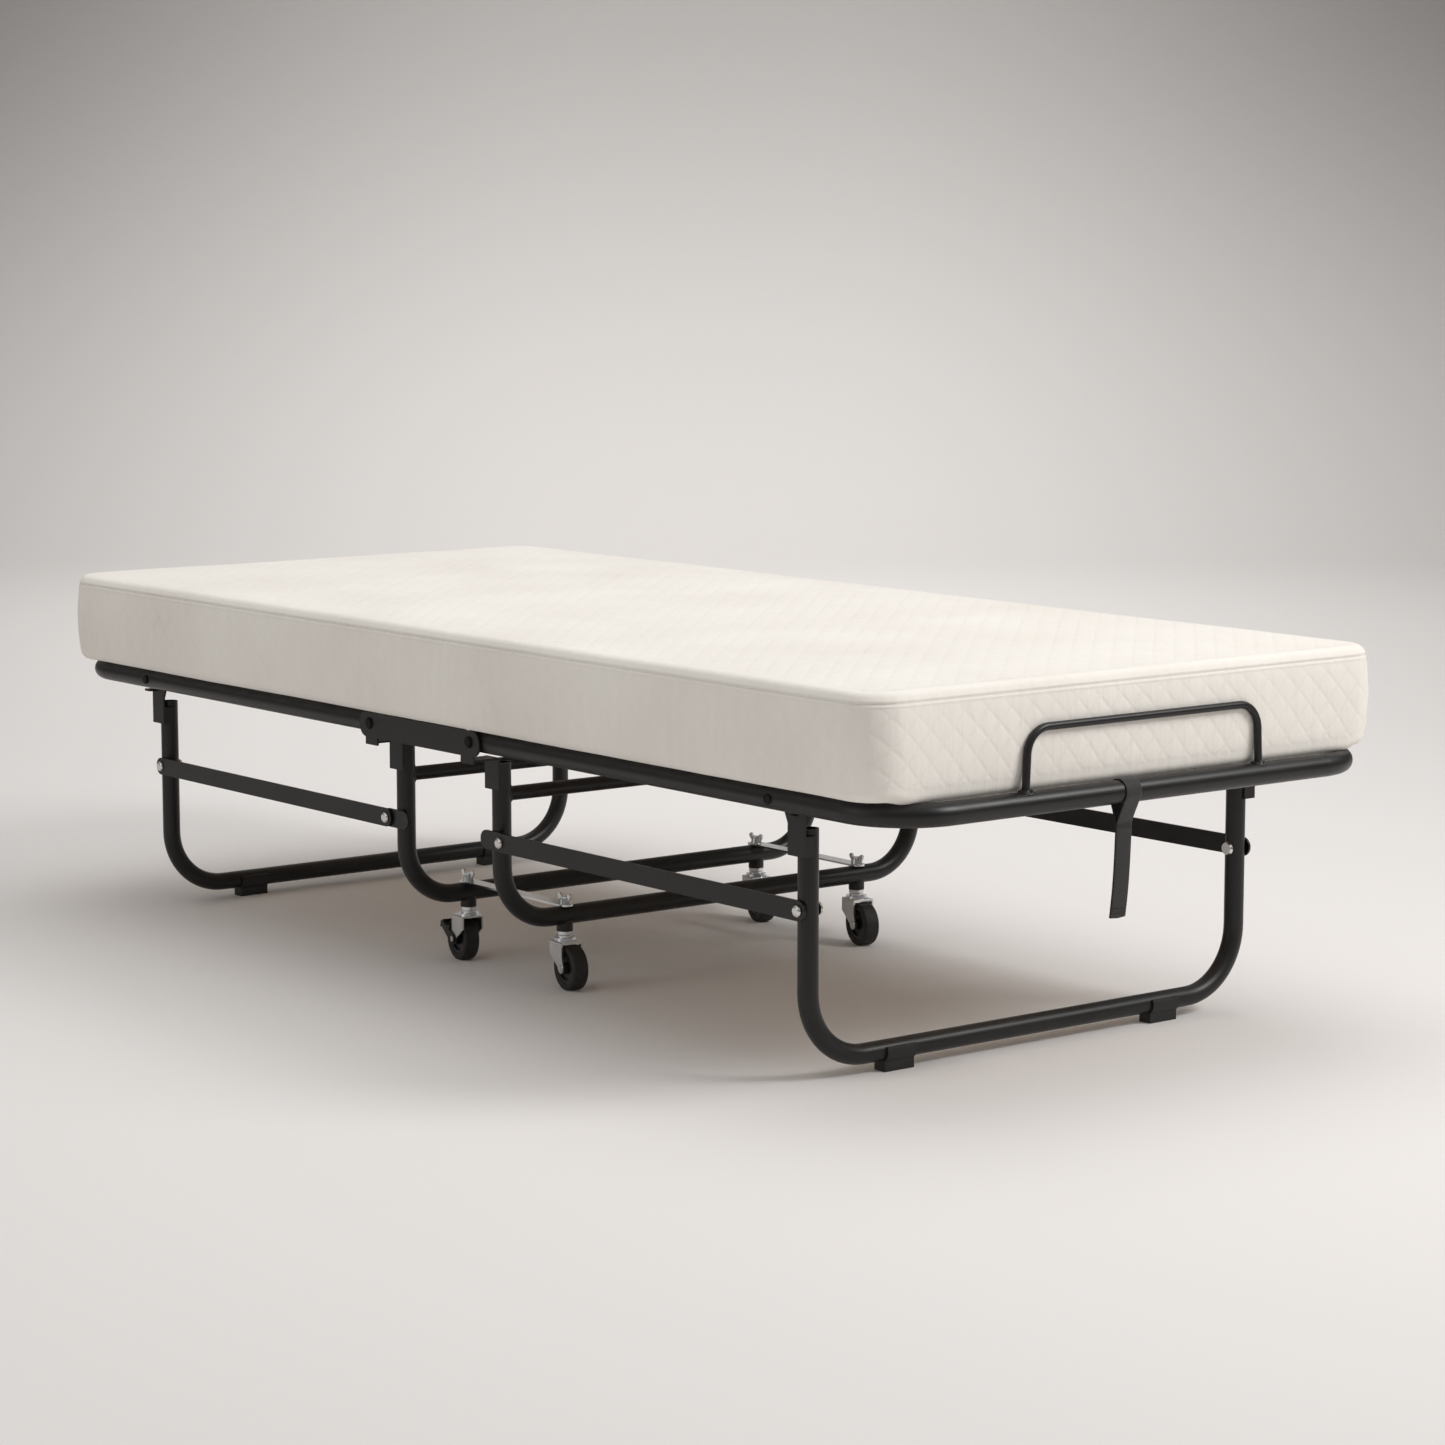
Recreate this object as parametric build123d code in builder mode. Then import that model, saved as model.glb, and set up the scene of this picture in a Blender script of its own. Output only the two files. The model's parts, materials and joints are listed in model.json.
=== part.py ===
"""Folding cot: a mattress on two hinged decks that fold up about a castored centre unit.

Millimetres. +X runs towards the foot end, +Y towards the sleeper's left, +Z up. The origin
is on the floor under the middle of the bed. The foot end is drawn; the head end mirrors it.
"""
from build123d import *
import os
from math import cos, radians, sin

os.makedirs("parts", exist_ok=True)

# Mattress
MATTRESS_LENGTH = 1870
MATTRESS_WIDTH = 840
MATTRESS_THICKNESS = 127
MATTRESS_BOTTOM = 360
MATTRESS_CORNER = 45
MATTRESS_EDGE = 12
FOLD_GAP = 100  # the mattress ends stand this far out from the deck pivots

# Deck rails and their pivots
RAIL_RADIUS = 14.3
RAIL_WALL = 1.5
RAIL_HEIGHT = 343.9
RAIL_END_X = 945
RAIL_SIDE_Y = 391
RAIL_CORNER = 82
RAIL_STUB = 16  # rail beyond its pivot, towards the middle
DECK_PIVOT_X = 118.7
LEG_PIVOT_X = 732.8
FOLD_ANGLE = 85

# Leg and castor frames
TUBE_RADIUS = 12.7
TUBE_WALL = 1.5
LINK_OFFSET_X = 17  # strut pivots lie this far out from the rail pivots, and this far below
LINK_DROP = 134
LEG_X = LEG_PIVOT_X + LINK_OFFSET_X
LEG_Y = 357
LEG_TOP = 307
LEG_BOTTOM = 25
LEG_CORNER = 85
FRAME_X = 113.9
FRAME_Y = 354
FRAME_TOP = 313
FRAME_BOTTOM = 98.3
FRAME_CORNER = 75
CROSS_TUBE_RADIUS = 9.5
CROSS_TUBE_HEIGHT = 270

# Sheet steel and fasteners
PLATE = 3
STRUT_WIDTH = 25
PIN_RADIUS = 4
RIVET_HEAD_RADIUS = 7.5
RIVET_HEAD = 4
HEAD_ROUNDING = 0.9  # share of a domed head's height that is rounded
RUNNING_GAP = 0.05
SIDE_GAP = 0.5  # between plates that turn past each other
STRUT_PIVOT_X = DECK_PIVOT_X + LINK_OFFSET_X
STRUT_HEIGHT = RAIL_HEIGHT - LINK_DROP
STRUT_LENGTH = LEG_PIVOT_X - DECK_PIVOT_X
EAR_OUTER_Y = FRAME_Y + TUBE_RADIUS + PLATE
STRUT_INNER_Y = EAR_OUTER_Y + SIDE_GAP
STRUT_OUTER_Y = STRUT_INNER_Y + PLATE
BRACKET_OUTER_Y = 375.7
BRACKET_INNER_Y = BRACKET_OUTER_Y - PLATE
BRACKET_WIDTH = 2 * (TUBE_RADIUS + PLATE)
LINK_INNER_Y = RAIL_SIDE_Y + RAIL_RADIUS + SIDE_GAP
LINK_OUTER_Y = LINK_INNER_Y + PLATE
LINK_TOP = 359
LINK_BOTTOM = 325
LINK_END = 24  # link beyond each deck pivot
LINK_LIP = 12  # depth of the folded lips, which stop short of the turning rail ends
LINK_LIP_END = 92
LINK_SKIRT_WIDTH = 28  # the link's skirt over each frame bracket
SHELF_TOP = 321
SHELF_WIDTH = 26

# Castors
CASTOR_Y = 253.8
WHEEL_RADIUS = 30
WHEEL_WIDTH = 22
CASTOR_TRAIL = 17
FORK_PLATE = 2.5
FORK_UNDERSIDE = 62.5
FORK_INNER_Y = 13.6
STEM_RADIUS = 5
STRIP_THICKNESS = 2.5
STRIP_TOP = FRAME_BOTTOM + TUBE_RADIUS + STRIP_THICKNESS
CASTORS = {
    "head_right": Location((-FRAME_X, -CASTOR_Y, 0), (0, 0, 172)),
    "foot_right": Location((FRAME_X, -CASTOR_Y, 0), (0, 0, -7)),
    "head_left": Location((-FRAME_X, CASTOR_Y, 0), (0, 0, -12)),
    "foot_left": Location((FRAME_X, CASTOR_Y, 0), (0, 0, -10)),
}


def write(name, piece):
    """Label a finished piece and write it as its own STEP file."""
    piece.label = name
    export_step(piece, f"parts/{name}.step")


def write_both_ends(name, piece):
    """Write the foot-end piece and its mirror image at the head end."""
    write(f"foot_{name}", piece)
    write(f"head_{name}", mirror(piece, about=Plane.YZ))


def bent_tube(corners, bend, outer, wall):
    """Sweep a round tube along straight runs joined by bends."""
    with BuildPart() as tube:
        with BuildLine() as route:
            FilletPolyline(*corners, radius=bend)
        with BuildSketch(Plane(origin=route.line @ 0, z_dir=route.line % 0)):
            Circle(outer)
            Circle(outer - wall, mode=Mode.SUBTRACT)
        sweep(path=route.line)
    return tube.part


def side_to_side(x, z, radius, half_length):
    """A solid bar along Y, used as a hole cutter and as a pin."""
    with BuildPart() as bar:
        with BuildSketch(Plane(origin=(x, half_length, z), z_dir=(0, -1, 0))):
            Circle(radius)
        extrude(amount=2 * half_length)
    return bar.part


def u_tube(x, half_width, top, bottom, bend):
    """A U-shaped tube frame standing across the bed."""
    corners = [
        (x, -half_width, top),
        (x, -half_width, bottom),
        (x, half_width, bottom),
        (x, half_width, top),
    ]
    return bent_tube(corners, bend, TUBE_RADIUS, TUBE_WALL)


def facing_out(y):
    """A plane on the right-hand side whose sketches face away from the bed, X across and Z up."""
    return Plane(origin=(0, -y, 0), x_dir=(1, 0, 0), z_dir=(0, -1, 0))


def domed_pin(centre, shank, head_radius, head_height):
    """A pin on the right-hand side at an (x, z) centre. Its shank runs out from the first y to
    the second, where the domed head starts."""
    start, head_start = shank
    with BuildPart() as pin:
        with BuildSketch(facing_out(start)):
            with Locations(centre):
                Circle(PIN_RADIUS)
        extrude(amount=head_start - start)
        with BuildSketch(facing_out(head_start)) as head:
            with Locations(centre):
                Circle(head_radius)
        extrude(head.sketch, amount=head_height)
        fillet(pin.edges().sort_by(Axis.Y)[0], head_height * HEAD_ROUNDING)
    return pin.part


# --- Decks -----------------------------------------------------------------------------

with BuildPart() as deck_rail:
    add(
        bent_tube(
            [
                (DECK_PIVOT_X - RAIL_STUB, -RAIL_SIDE_Y, RAIL_HEIGHT),
                (RAIL_END_X, -RAIL_SIDE_Y, RAIL_HEIGHT),
                (RAIL_END_X, RAIL_SIDE_Y, RAIL_HEIGHT),
                (DECK_PIVOT_X - RAIL_STUB, RAIL_SIDE_Y, RAIL_HEIGHT),
            ],
            RAIL_CORNER,
            RAIL_RADIUS,
            RAIL_WALL,
        )
    )
    add(
        side_to_side(DECK_PIVOT_X, RAIL_HEIGHT, PIN_RADIUS + RUNNING_GAP, LINK_OUTER_Y),
        mode=Mode.SUBTRACT,
    )
    add(side_to_side(LEG_PIVOT_X, RAIL_HEIGHT, PIN_RADIUS, LINK_OUTER_Y), mode=Mode.SUBTRACT)
write_both_ends("deck_rail", deck_rail.part)

# Sprung slats lie between the side rails in moulded holders that hug the tube.
SLAT_COUNT = 5
SLAT_WIDTH = 53
SLAT_THICKNESS = 8
SLAT_PITCH = 152
SLAT_FIRST_X = DECK_PIVOT_X + 75
SLAT_Z = RAIL_HEIGHT + 9.5
SLAT_END_Y = 374
SLAT_ROUND = 2
HOLDER_WALL = 2.2
HOLDER_DEPTH = 24
HOLDER_OVERLAP = 8  # holder beyond the slat's end, over the tube
HOLDER_ROUND = 3
slat_xs = [SLAT_FIRST_X + SLAT_PITCH * i for i in range(SLAT_COUNT)]

with BuildPart() as slats:
    with Locations(*[(x, 0, SLAT_Z) for x in slat_xs]):
        Box(SLAT_WIDTH, 2 * SLAT_END_Y, SLAT_THICKNESS)
    fillet(slats.edges().filter_by(Axis.Y), SLAT_ROUND)
write_both_ends("slats", slats.part)

with BuildPart() as slat_holders:
    holder_y = SLAT_END_Y + HOLDER_OVERLAP - HOLDER_DEPTH / 2
    with Locations(*[(x, -holder_y, SLAT_Z) for x in slat_xs]):
        Box(SLAT_WIDTH + 2 * HOLDER_WALL, HOLDER_DEPTH, SLAT_THICKNESS + 2 * HOLDER_WALL)
    fillet(slat_holders.edges().filter_by(Axis.Y), HOLDER_ROUND)
    with BuildSketch(Plane(origin=(0, -RAIL_SIDE_Y, RAIL_HEIGHT), z_dir=(1, 0, 0))):
        Circle(RAIL_RADIUS)
    extrude(amount=RAIL_END_X, mode=Mode.SUBTRACT)
    mirror(about=Plane.XZ)
    add(slats.part, mode=Mode.SUBTRACT)
write_both_ends("slat_holders", slat_holders.part)

# A rod hoop on the end rail keeps the mattress from sliding off.
HOOP_RADIUS = 4.8
HOOP_TOP = 431.5
HOOP_FOOT_Y = 193
HOOP_SHOULDER_Y = 189
HOOP_BEND = 32
COLLAR_RADIUS = 8
COLLAR_SINK = 3
COLLAR_HEIGHT = 5
COLLAR_TAPER = 25
rail_top = RAIL_HEIGHT + RAIL_RADIUS

with BuildPart() as hoop:
    with BuildLine() as hoop_line:
        FilletPolyline(
            (RAIL_END_X, -HOOP_FOOT_Y, RAIL_HEIGHT),
            (RAIL_END_X, -HOOP_SHOULDER_Y, HOOP_TOP),
            (RAIL_END_X, HOOP_SHOULDER_Y, HOOP_TOP),
            (RAIL_END_X, HOOP_FOOT_Y, RAIL_HEIGHT),
            radius=HOOP_BEND,
        )
    with BuildSketch(Plane(origin=hoop_line.line @ 0, z_dir=hoop_line.line % 0)):
        Circle(HOOP_RADIUS)
    sweep(path=hoop_line.line)
    for foot_y in (-HOOP_FOOT_Y, HOOP_FOOT_Y):
        with BuildSketch(Plane.XY.offset(rail_top - COLLAR_SINK)):
            with Locations((RAIL_END_X, foot_y)):
                Circle(COLLAR_RADIUS)
        extrude(amount=COLLAR_HEIGHT, taper=COLLAR_TAPER)
    with BuildSketch(Plane(origin=(RAIL_END_X, -RAIL_SIDE_Y, RAIL_HEIGHT), z_dir=(0, 1, 0))):
        Circle(RAIL_RADIUS)
    extrude(amount=2 * RAIL_SIDE_Y, mode=Mode.SUBTRACT)
write_both_ends("mattress_hoop", hoop.part)

# --- Leg pivots: a bolt through the rail and a nut inside the leg bracket ----------------

LEG_NUT_RADIUS = 7
LEG_NUT_THICKNESS = 5
LEG_BOLT_HEAD_RADIUS = 7
LEG_BOLT_HEAD = 2.4

with BuildPart() as leg_bolts:
    head_start = RAIL_SIDE_Y + RAIL_RADIUS
    nut_outer_y = BRACKET_INNER_Y - SIDE_GAP
    nut_inner_y = nut_outer_y - LEG_NUT_THICKNESS
    add(
        domed_pin(
            (LEG_PIVOT_X, RAIL_HEIGHT),
            (nut_inner_y, head_start),
            LEG_BOLT_HEAD_RADIUS,
            LEG_BOLT_HEAD,
        )
    )
    with BuildSketch(facing_out(nut_inner_y)):
        with Locations((LEG_PIVOT_X, RAIL_HEIGHT)):
            RegularPolygon(LEG_NUT_RADIUS, 6)
    extrude(amount=LEG_NUT_THICKNESS)
    mirror(about=Plane.XZ)
write_both_ends("leg_pivot_bolts", leg_bolts.part)

# --- End legs --------------------------------------------------------------------------

with BuildPart() as leg_tube:
    add(u_tube(LEG_X, LEG_Y, LEG_TOP, LEG_BOTTOM, LEG_CORNER))
    add(side_to_side(LEG_X, STRUT_HEIGHT, PIN_RADIUS, LEG_Y + TUBE_RADIUS), mode=Mode.SUBTRACT)
write_both_ends("leg_tube", leg_tube.part)

# Each bracket is a channel round the top of the leg, a tongue up to the rail pivot, and
# a stop tab under the rail.
BRACKET_TOP = 326
BRACKET_BOTTOM = 275
BRACKET_CHEEK_TOP = 299.5
TONGUE_WIDTH = 24
TONGUE_ROOT_X = LEG_X - 2
TONGUE_ROOT_Z = BRACKET_TOP - 14
STOP_TAB_WIDTH = 13.5
STOP_TAB_REACH = 13

with BuildPart() as leg_brackets:
    with BuildSketch(facing_out(BRACKET_INNER_Y)):
        with Locations((LEG_PIVOT_X, RAIL_HEIGHT), (TONGUE_ROOT_X, TONGUE_ROOT_Z)):
            Circle(TONGUE_WIDTH / 2)
        make_hull()
        with Locations((LEG_X, (BRACKET_TOP + BRACKET_BOTTOM) / 2)):
            Rectangle(BRACKET_WIDTH, BRACKET_TOP - BRACKET_BOTTOM)
    extrude(amount=PLATE)
    cheek_y = (BRACKET_OUTER_Y + LEG_Y) / 2
    cheek_z = (BRACKET_CHEEK_TOP + BRACKET_BOTTOM) / 2
    for side in (-1, 1):
        with Locations((LEG_X + side * (TUBE_RADIUS + PLATE / 2), -cheek_y, cheek_z)):
            Box(PLATE, BRACKET_OUTER_Y - LEG_Y, BRACKET_CHEEK_TOP - BRACKET_BOTTOM)
    tab_x = LEG_X + BRACKET_WIDTH / 2 - STOP_TAB_WIDTH / 2
    tab_y = BRACKET_OUTER_Y + STOP_TAB_REACH / 2
    with Locations((tab_x, -tab_y, BRACKET_TOP - PLATE / 2)):
        Box(STOP_TAB_WIDTH, STOP_TAB_REACH, PLATE)
    add(
        side_to_side(LEG_PIVOT_X, RAIL_HEIGHT, PIN_RADIUS + RUNNING_GAP, LINK_OUTER_Y),
        mode=Mode.SUBTRACT,
    )
    mirror(about=Plane.XZ)
write_both_ends("leg_brackets", leg_brackets.part)

# Clip-on feet: a sleeve open at the top, on a block that stands on the floor.
PAD_LENGTH = 46
PAD_Y = 222
PAD_WALL = 3
PAD_BLOCK_WIDTH = 20
PAD_OPENING = 6  # the sleeve is cut away from this far above the tube's centre

with BuildPart() as leg_pads:
    pad_section = Plane(
        origin=(LEG_X, -PAD_Y - PAD_LENGTH / 2, LEG_BOTTOM),
        x_dir=(-1, 0, 0),
        z_dir=(0, 1, 0),
    )
    with BuildSketch(pad_section):
        Circle(TUBE_RADIUS + PAD_WALL)
        with Locations((0, -LEG_BOTTOM / 2)):
            Rectangle(PAD_BLOCK_WIDTH, LEG_BOTTOM)
        with Locations((0, PAD_OPENING + TUBE_RADIUS)):
            Rectangle(4 * TUBE_RADIUS, 2 * TUBE_RADIUS, mode=Mode.SUBTRACT)
        Circle(TUBE_RADIUS, mode=Mode.SUBTRACT)
    extrude(amount=PAD_LENGTH)
    mirror(about=Plane.XZ)
write_both_ends("leg_pads", leg_pads.part)

# Strut rivets at the legs: fixed in the tube, turning in the strut.
RIVET_INNER_TAPER = -18

with BuildPart() as leg_rivets:
    inner_end = LEG_Y - TUBE_RADIUS
    rivet_head_y = STRUT_OUTER_Y + SIDE_GAP
    add(
        domed_pin(
            (LEG_X, STRUT_HEIGHT),
            (inner_end, rivet_head_y),
            RIVET_HEAD_RADIUS,
            RIVET_HEAD,
        )
    )
    with BuildSketch(facing_out(inner_end - RIVET_HEAD)):
        with Locations((LEG_X, STRUT_HEIGHT)):
            Circle(RIVET_HEAD_RADIUS)
    extrude(amount=RIVET_HEAD, taper=RIVET_INNER_TAPER)
    mirror(about=Plane.XZ)
write_both_ends("leg_rivets", leg_rivets.part)

# --- Struts ----------------------------------------------------------------------------

with BuildPart() as strut:
    with BuildSketch(facing_out(STRUT_INNER_Y)):
        with Locations((STRUT_PIVOT_X + STRUT_LENGTH / 2, STRUT_HEIGHT)):
            SlotCenterToCenter(STRUT_LENGTH, STRUT_WIDTH)
        with Locations((STRUT_PIVOT_X, STRUT_HEIGHT), (LEG_X, STRUT_HEIGHT)):
            Circle(PIN_RADIUS + RUNNING_GAP, mode=Mode.SUBTRACT)
    extrude(amount=PLATE)
write_both_ends("strut_right", strut.part)
write_both_ends("strut_left", mirror(strut.part, about=Plane.XZ))

# --- Centre unit -----------------------------------------------------------------------

with BuildPart() as side_link:
    with BuildSketch(facing_out(LINK_INNER_Y)):
        with Locations((0, (LINK_TOP + LINK_BOTTOM) / 2)):
            SlotOverall(2 * (DECK_PIVOT_X + LINK_END), LINK_TOP - LINK_BOTTOM)
        for end in (-1, 1):
            with Locations((end * FRAME_X, (LINK_BOTTOM + SHELF_TOP) / 2)):
                Rectangle(LINK_SKIRT_WIDTH, LINK_BOTTOM - SHELF_TOP + 4 * PLATE)
    extrude(amount=PLATE)
    for lip_z in (LINK_BOTTOM + PLATE / 2, LINK_TOP - PLATE / 2):
        with Locations((0, -LINK_INNER_Y + LINK_LIP / 2, lip_z)):
            Box(2 * LINK_LIP_END, LINK_LIP, PLATE)
    for end in (-1, 1):
        add(
            side_to_side(end * DECK_PIVOT_X, RAIL_HEIGHT, PIN_RADIUS, LINK_OUTER_Y + PLATE),
            mode=Mode.SUBTRACT,
        )
write("side_link_right", side_link.part)
write("side_link_left", mirror(side_link.part, about=Plane.XZ))

DECK_NUT_RADIUS = 8
DECK_NUT_THICKNESS = 6
DECK_BOLT_HEAD_RADIUS = 8
DECK_BOLT_HEAD = 3

with BuildPart() as deck_bolts:
    deck_nut_outer = RAIL_SIDE_Y - RAIL_RADIUS - SIDE_GAP
    deck_nut_inner = deck_nut_outer - DECK_NUT_THICKNESS
    add(
        domed_pin(
            (DECK_PIVOT_X, RAIL_HEIGHT),
            (deck_nut_inner, LINK_OUTER_Y),
            DECK_BOLT_HEAD_RADIUS,
            DECK_BOLT_HEAD,
        )
    )
    with BuildSketch(facing_out(deck_nut_inner)):
        with Locations((DECK_PIVOT_X, RAIL_HEIGHT)):
            RegularPolygon(DECK_NUT_RADIUS, 6)
    extrude(amount=DECK_NUT_THICKNESS)
    mirror(about=Plane.XZ)
    mirror(about=Plane.YZ)
write("deck_pivot_bolts", deck_bolts.part)

with BuildPart() as castor_frame:
    add(u_tube(FRAME_X, FRAME_Y, FRAME_TOP, FRAME_BOTTOM, FRAME_CORNER))
    for y in (-CASTOR_Y, CASTOR_Y):
        with BuildSketch(Plane.XY):
            with Locations((FRAME_X, y)):
                Circle(STEM_RADIUS)
        extrude(amount=FRAME_TOP, mode=Mode.SUBTRACT)
    add(
        side_to_side(FRAME_X, CROSS_TUBE_HEIGHT, CROSS_TUBE_RADIUS, FRAME_Y),
        mode=Mode.SUBTRACT,
    )
write_both_ends("castor_frame", castor_frame.part)

with BuildPart() as cross_tube:
    with BuildSketch(Plane(origin=(FRAME_X, -FRAME_Y, CROSS_TUBE_HEIGHT), z_dir=(0, 1, 0))):
        Circle(CROSS_TUBE_RADIUS)
        Circle(CROSS_TUBE_RADIUS - TUBE_WALL, mode=Mode.SUBTRACT)
    extrude(amount=2 * FRAME_Y)
write_both_ends("frame_cross_tube", cross_tube.part)

# Channel brackets carry the castor frames under the side links.
FRAME_BRACKET_BOTTOM = 278
FLANGE_HEIGHT = 35

with BuildPart() as frame_brackets:
    web_y = FRAME_Y + TUBE_RADIUS + PLATE / 2
    web_height = SHELF_TOP - FRAME_BRACKET_BOTTOM
    with Locations((FRAME_X, -web_y, FRAME_BRACKET_BOTTOM + web_height / 2)):
        Box(BRACKET_WIDTH, PLATE, web_height)
    for side in (-1, 1):
        flange_x = FRAME_X + side * (TUBE_RADIUS + PLATE / 2)
        flange_depth = EAR_OUTER_Y - FRAME_Y
        flange_z = FRAME_BRACKET_BOTTOM + FLANGE_HEIGHT / 2
        with Locations((flange_x, -FRAME_Y - flange_depth / 2, flange_z)):
            Box(PLATE, flange_depth, FLANGE_HEIGHT)
    shelf_depth = LINK_INNER_Y - EAR_OUTER_Y + PLATE
    shelf_y = LINK_INNER_Y - shelf_depth / 2
    with Locations((FRAME_X, -shelf_y, SHELF_TOP - PLATE / 2)):
        Box(SHELF_WIDTH, shelf_depth, PLATE)
    mirror(about=Plane.XZ)
    mirror(about=Plane.YZ)
write("frame_brackets", frame_brackets.part)

# Ear plates are welded to the frame tubes and stand out to the strut pivots.
EAR_INNER_X = FRAME_X - 27
EAR_OUTER_X = STRUT_PIVOT_X + 11

with BuildPart() as strut_ears:
    with BuildSketch(facing_out(EAR_OUTER_Y - PLATE)):
        with Locations(((EAR_INNER_X + EAR_OUTER_X) / 2, STRUT_HEIGHT)):
            SlotOverall(EAR_OUTER_X - EAR_INNER_X, STRUT_WIDTH)
        with Locations((STRUT_PIVOT_X, STRUT_HEIGHT)):
            Circle(PIN_RADIUS, mode=Mode.SUBTRACT)
    extrude(amount=PLATE)
    mirror(about=Plane.XZ)
    mirror(about=Plane.YZ)
write("strut_ears", strut_ears.part)

with BuildPart() as strut_rivets:
    add(
        domed_pin(
            (STRUT_PIVOT_X, STRUT_HEIGHT),
            (EAR_OUTER_Y - PLATE, rivet_head_y),
            RIVET_HEAD_RADIUS,
            RIVET_HEAD,
        )
    )
    mirror(about=Plane.XZ)
    mirror(about=Plane.YZ)
write("strut_rivets", strut_rivets.part)

# Tie strips lie on the castor frames and join the stems of each side.
STRIP_WIDTH = 22
STRIP_OVERHANG = 13

with BuildPart() as tie_strip:
    with BuildSketch(Plane.XY.offset(STRIP_TOP - STRIP_THICKNESS)):
        with Locations((0, -CASTOR_Y)):
            SlotOverall(2 * (FRAME_X + STRIP_OVERHANG), STRIP_WIDTH)
        with Locations((-FRAME_X, -CASTOR_Y), (FRAME_X, -CASTOR_Y)):
            Circle(STEM_RADIUS, mode=Mode.SUBTRACT)
    extrude(amount=STRIP_THICKNESS)
write("tie_strip_right", tie_strip.part)
write("tie_strip_left", mirror(tie_strip.part, about=Plane.XZ))

# --- Castor fittings that stay with the frame: saddle, stem and wing nut -----------------

SADDLE_BOTTOM = 77
SADDLE_HEIGHT = 15
SADDLE_RADIUS = 11
STEM_ABOVE_STRIP = 10
STEM_HEAD_RADIUS = 6  # the peened end under the fork
STEM_HEAD = 1.8
STEM_HEAD_GAP = 0.1
STEM_SHOULDER_RADIUS = 10.5
STEM_SHOULDER_BOTTOM = 72.5
NUT_RADIUS = 8
NUT_HEIGHT = 7
NUT_TAPER = 10
WING_THICKNESS = 3
WING_RADIUS = 3.2
WING_ROOT = (6, 3.5)  # out from the stem, up from the strip
WING_TIP = (11, 10.5)

with BuildPart() as saddles:
    with BuildSketch(Plane.XY.offset(SADDLE_BOTTOM)):
        with Locations((FRAME_X, -CASTOR_Y)):
            Circle(SADDLE_RADIUS)
            Circle(STEM_RADIUS, mode=Mode.SUBTRACT)
    extrude(amount=SADDLE_HEIGHT)
    add(side_to_side(FRAME_X, FRAME_BOTTOM, TUBE_RADIUS, FRAME_Y), mode=Mode.SUBTRACT)
    mirror(about=Plane.XZ)
    mirror(about=Plane.YZ)
write("castor_saddles", saddles.part)

with BuildPart() as stems:
    stem_section = Plane(origin=(FRAME_X, -CASTOR_Y, 0), x_dir=(1, 0, 0), z_dir=(0, -1, 0))
    head_top = FORK_UNDERSIDE - STEM_HEAD_GAP
    with BuildSketch(stem_section):
        with BuildLine():
            Polyline(
                (0, FORK_UNDERSIDE - STEM_HEAD),
                (STEM_HEAD_RADIUS, FORK_UNDERSIDE - STEM_HEAD),
                (STEM_HEAD_RADIUS, head_top),
                (STEM_RADIUS, head_top),
                (STEM_RADIUS, STEM_SHOULDER_BOTTOM),
                (STEM_SHOULDER_RADIUS, STEM_SHOULDER_BOTTOM),
                (STEM_SHOULDER_RADIUS, SADDLE_BOTTOM),
                (STEM_RADIUS, SADDLE_BOTTOM),
                (STEM_RADIUS, STRIP_TOP + STEM_ABOVE_STRIP),
                (0, STRIP_TOP + STEM_ABOVE_STRIP),
                close=True,
            )
        make_face()
    revolve(axis=Axis((FRAME_X, -CASTOR_Y, 0), (0, 0, 1)))
    mirror(about=Plane.XZ)
    mirror(about=Plane.YZ)
write("castor_stems", stems.part)

with BuildPart() as wing_nuts:
    with BuildSketch(Plane.XY.offset(STRIP_TOP)):
        with Locations((FRAME_X, -CASTOR_Y)):
            Circle(NUT_RADIUS)
    extrude(amount=NUT_HEIGHT, taper=NUT_TAPER)
    for side in (-1, 1):
        wing_section = Plane(
            origin=(FRAME_X, -CASTOR_Y + WING_THICKNESS / 2, STRIP_TOP),
            x_dir=(side, 0, 0),
            z_dir=(0, -side, 0),
        )
        with BuildSketch(wing_section):
            with Locations(WING_ROOT, WING_TIP):
                Circle(WING_RADIUS)
            make_hull()
        extrude(amount=side * WING_THICKNESS)
    with BuildSketch(Plane.XY.offset(STRIP_TOP)):
        with Locations((FRAME_X, -CASTOR_Y)):
            Circle(STEM_RADIUS)
    extrude(amount=STEM_ABOVE_STRIP + NUT_HEIGHT, mode=Mode.SUBTRACT)
    mirror(about=Plane.XZ)
    mirror(about=Plane.YZ)
write("wing_nuts", wing_nuts.part)

# --- Castors: drawn trailing towards +X from a stem at the origin ------------------------

AXLE_RADIUS = 3
AXLE_HEAD_RADIUS = 4.8
AXLE_HEAD = 2
AXLE_HEAD_TAPER = 20
FORK_EAR_RADIUS = 7
FORK_FRONT_X = -13
FORK_BACK_X = 20
FORK_BEND = 2
FORK_SHOULDER = 16  # straight part of the plates below the top
RACE_RADIUS = 15
RACE_HEIGHT = 3.5
RACE_TAPER = 8
RACE_CAP_RADIUS = 10
RACE_CAP = 3
TYRE_ROUND = 3
HUB_RADIUS = 21
HUB_HALF_WIDTH = 9
HUB_BOSS_HALF_WIDTH = 13
HUB_BOSS_RADIUS = 8
HUB_WEB_HALF_WIDTH = 6
HUB_WEB_RADIUS = 17
fork_outer_y = FORK_INNER_Y + FORK_PLATE
fork_top = FORK_UNDERSIDE + FORK_PLATE
axle_axis = Axis((CASTOR_TRAIL, 0, WHEEL_RADIUS), (0, 1, 0))

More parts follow.
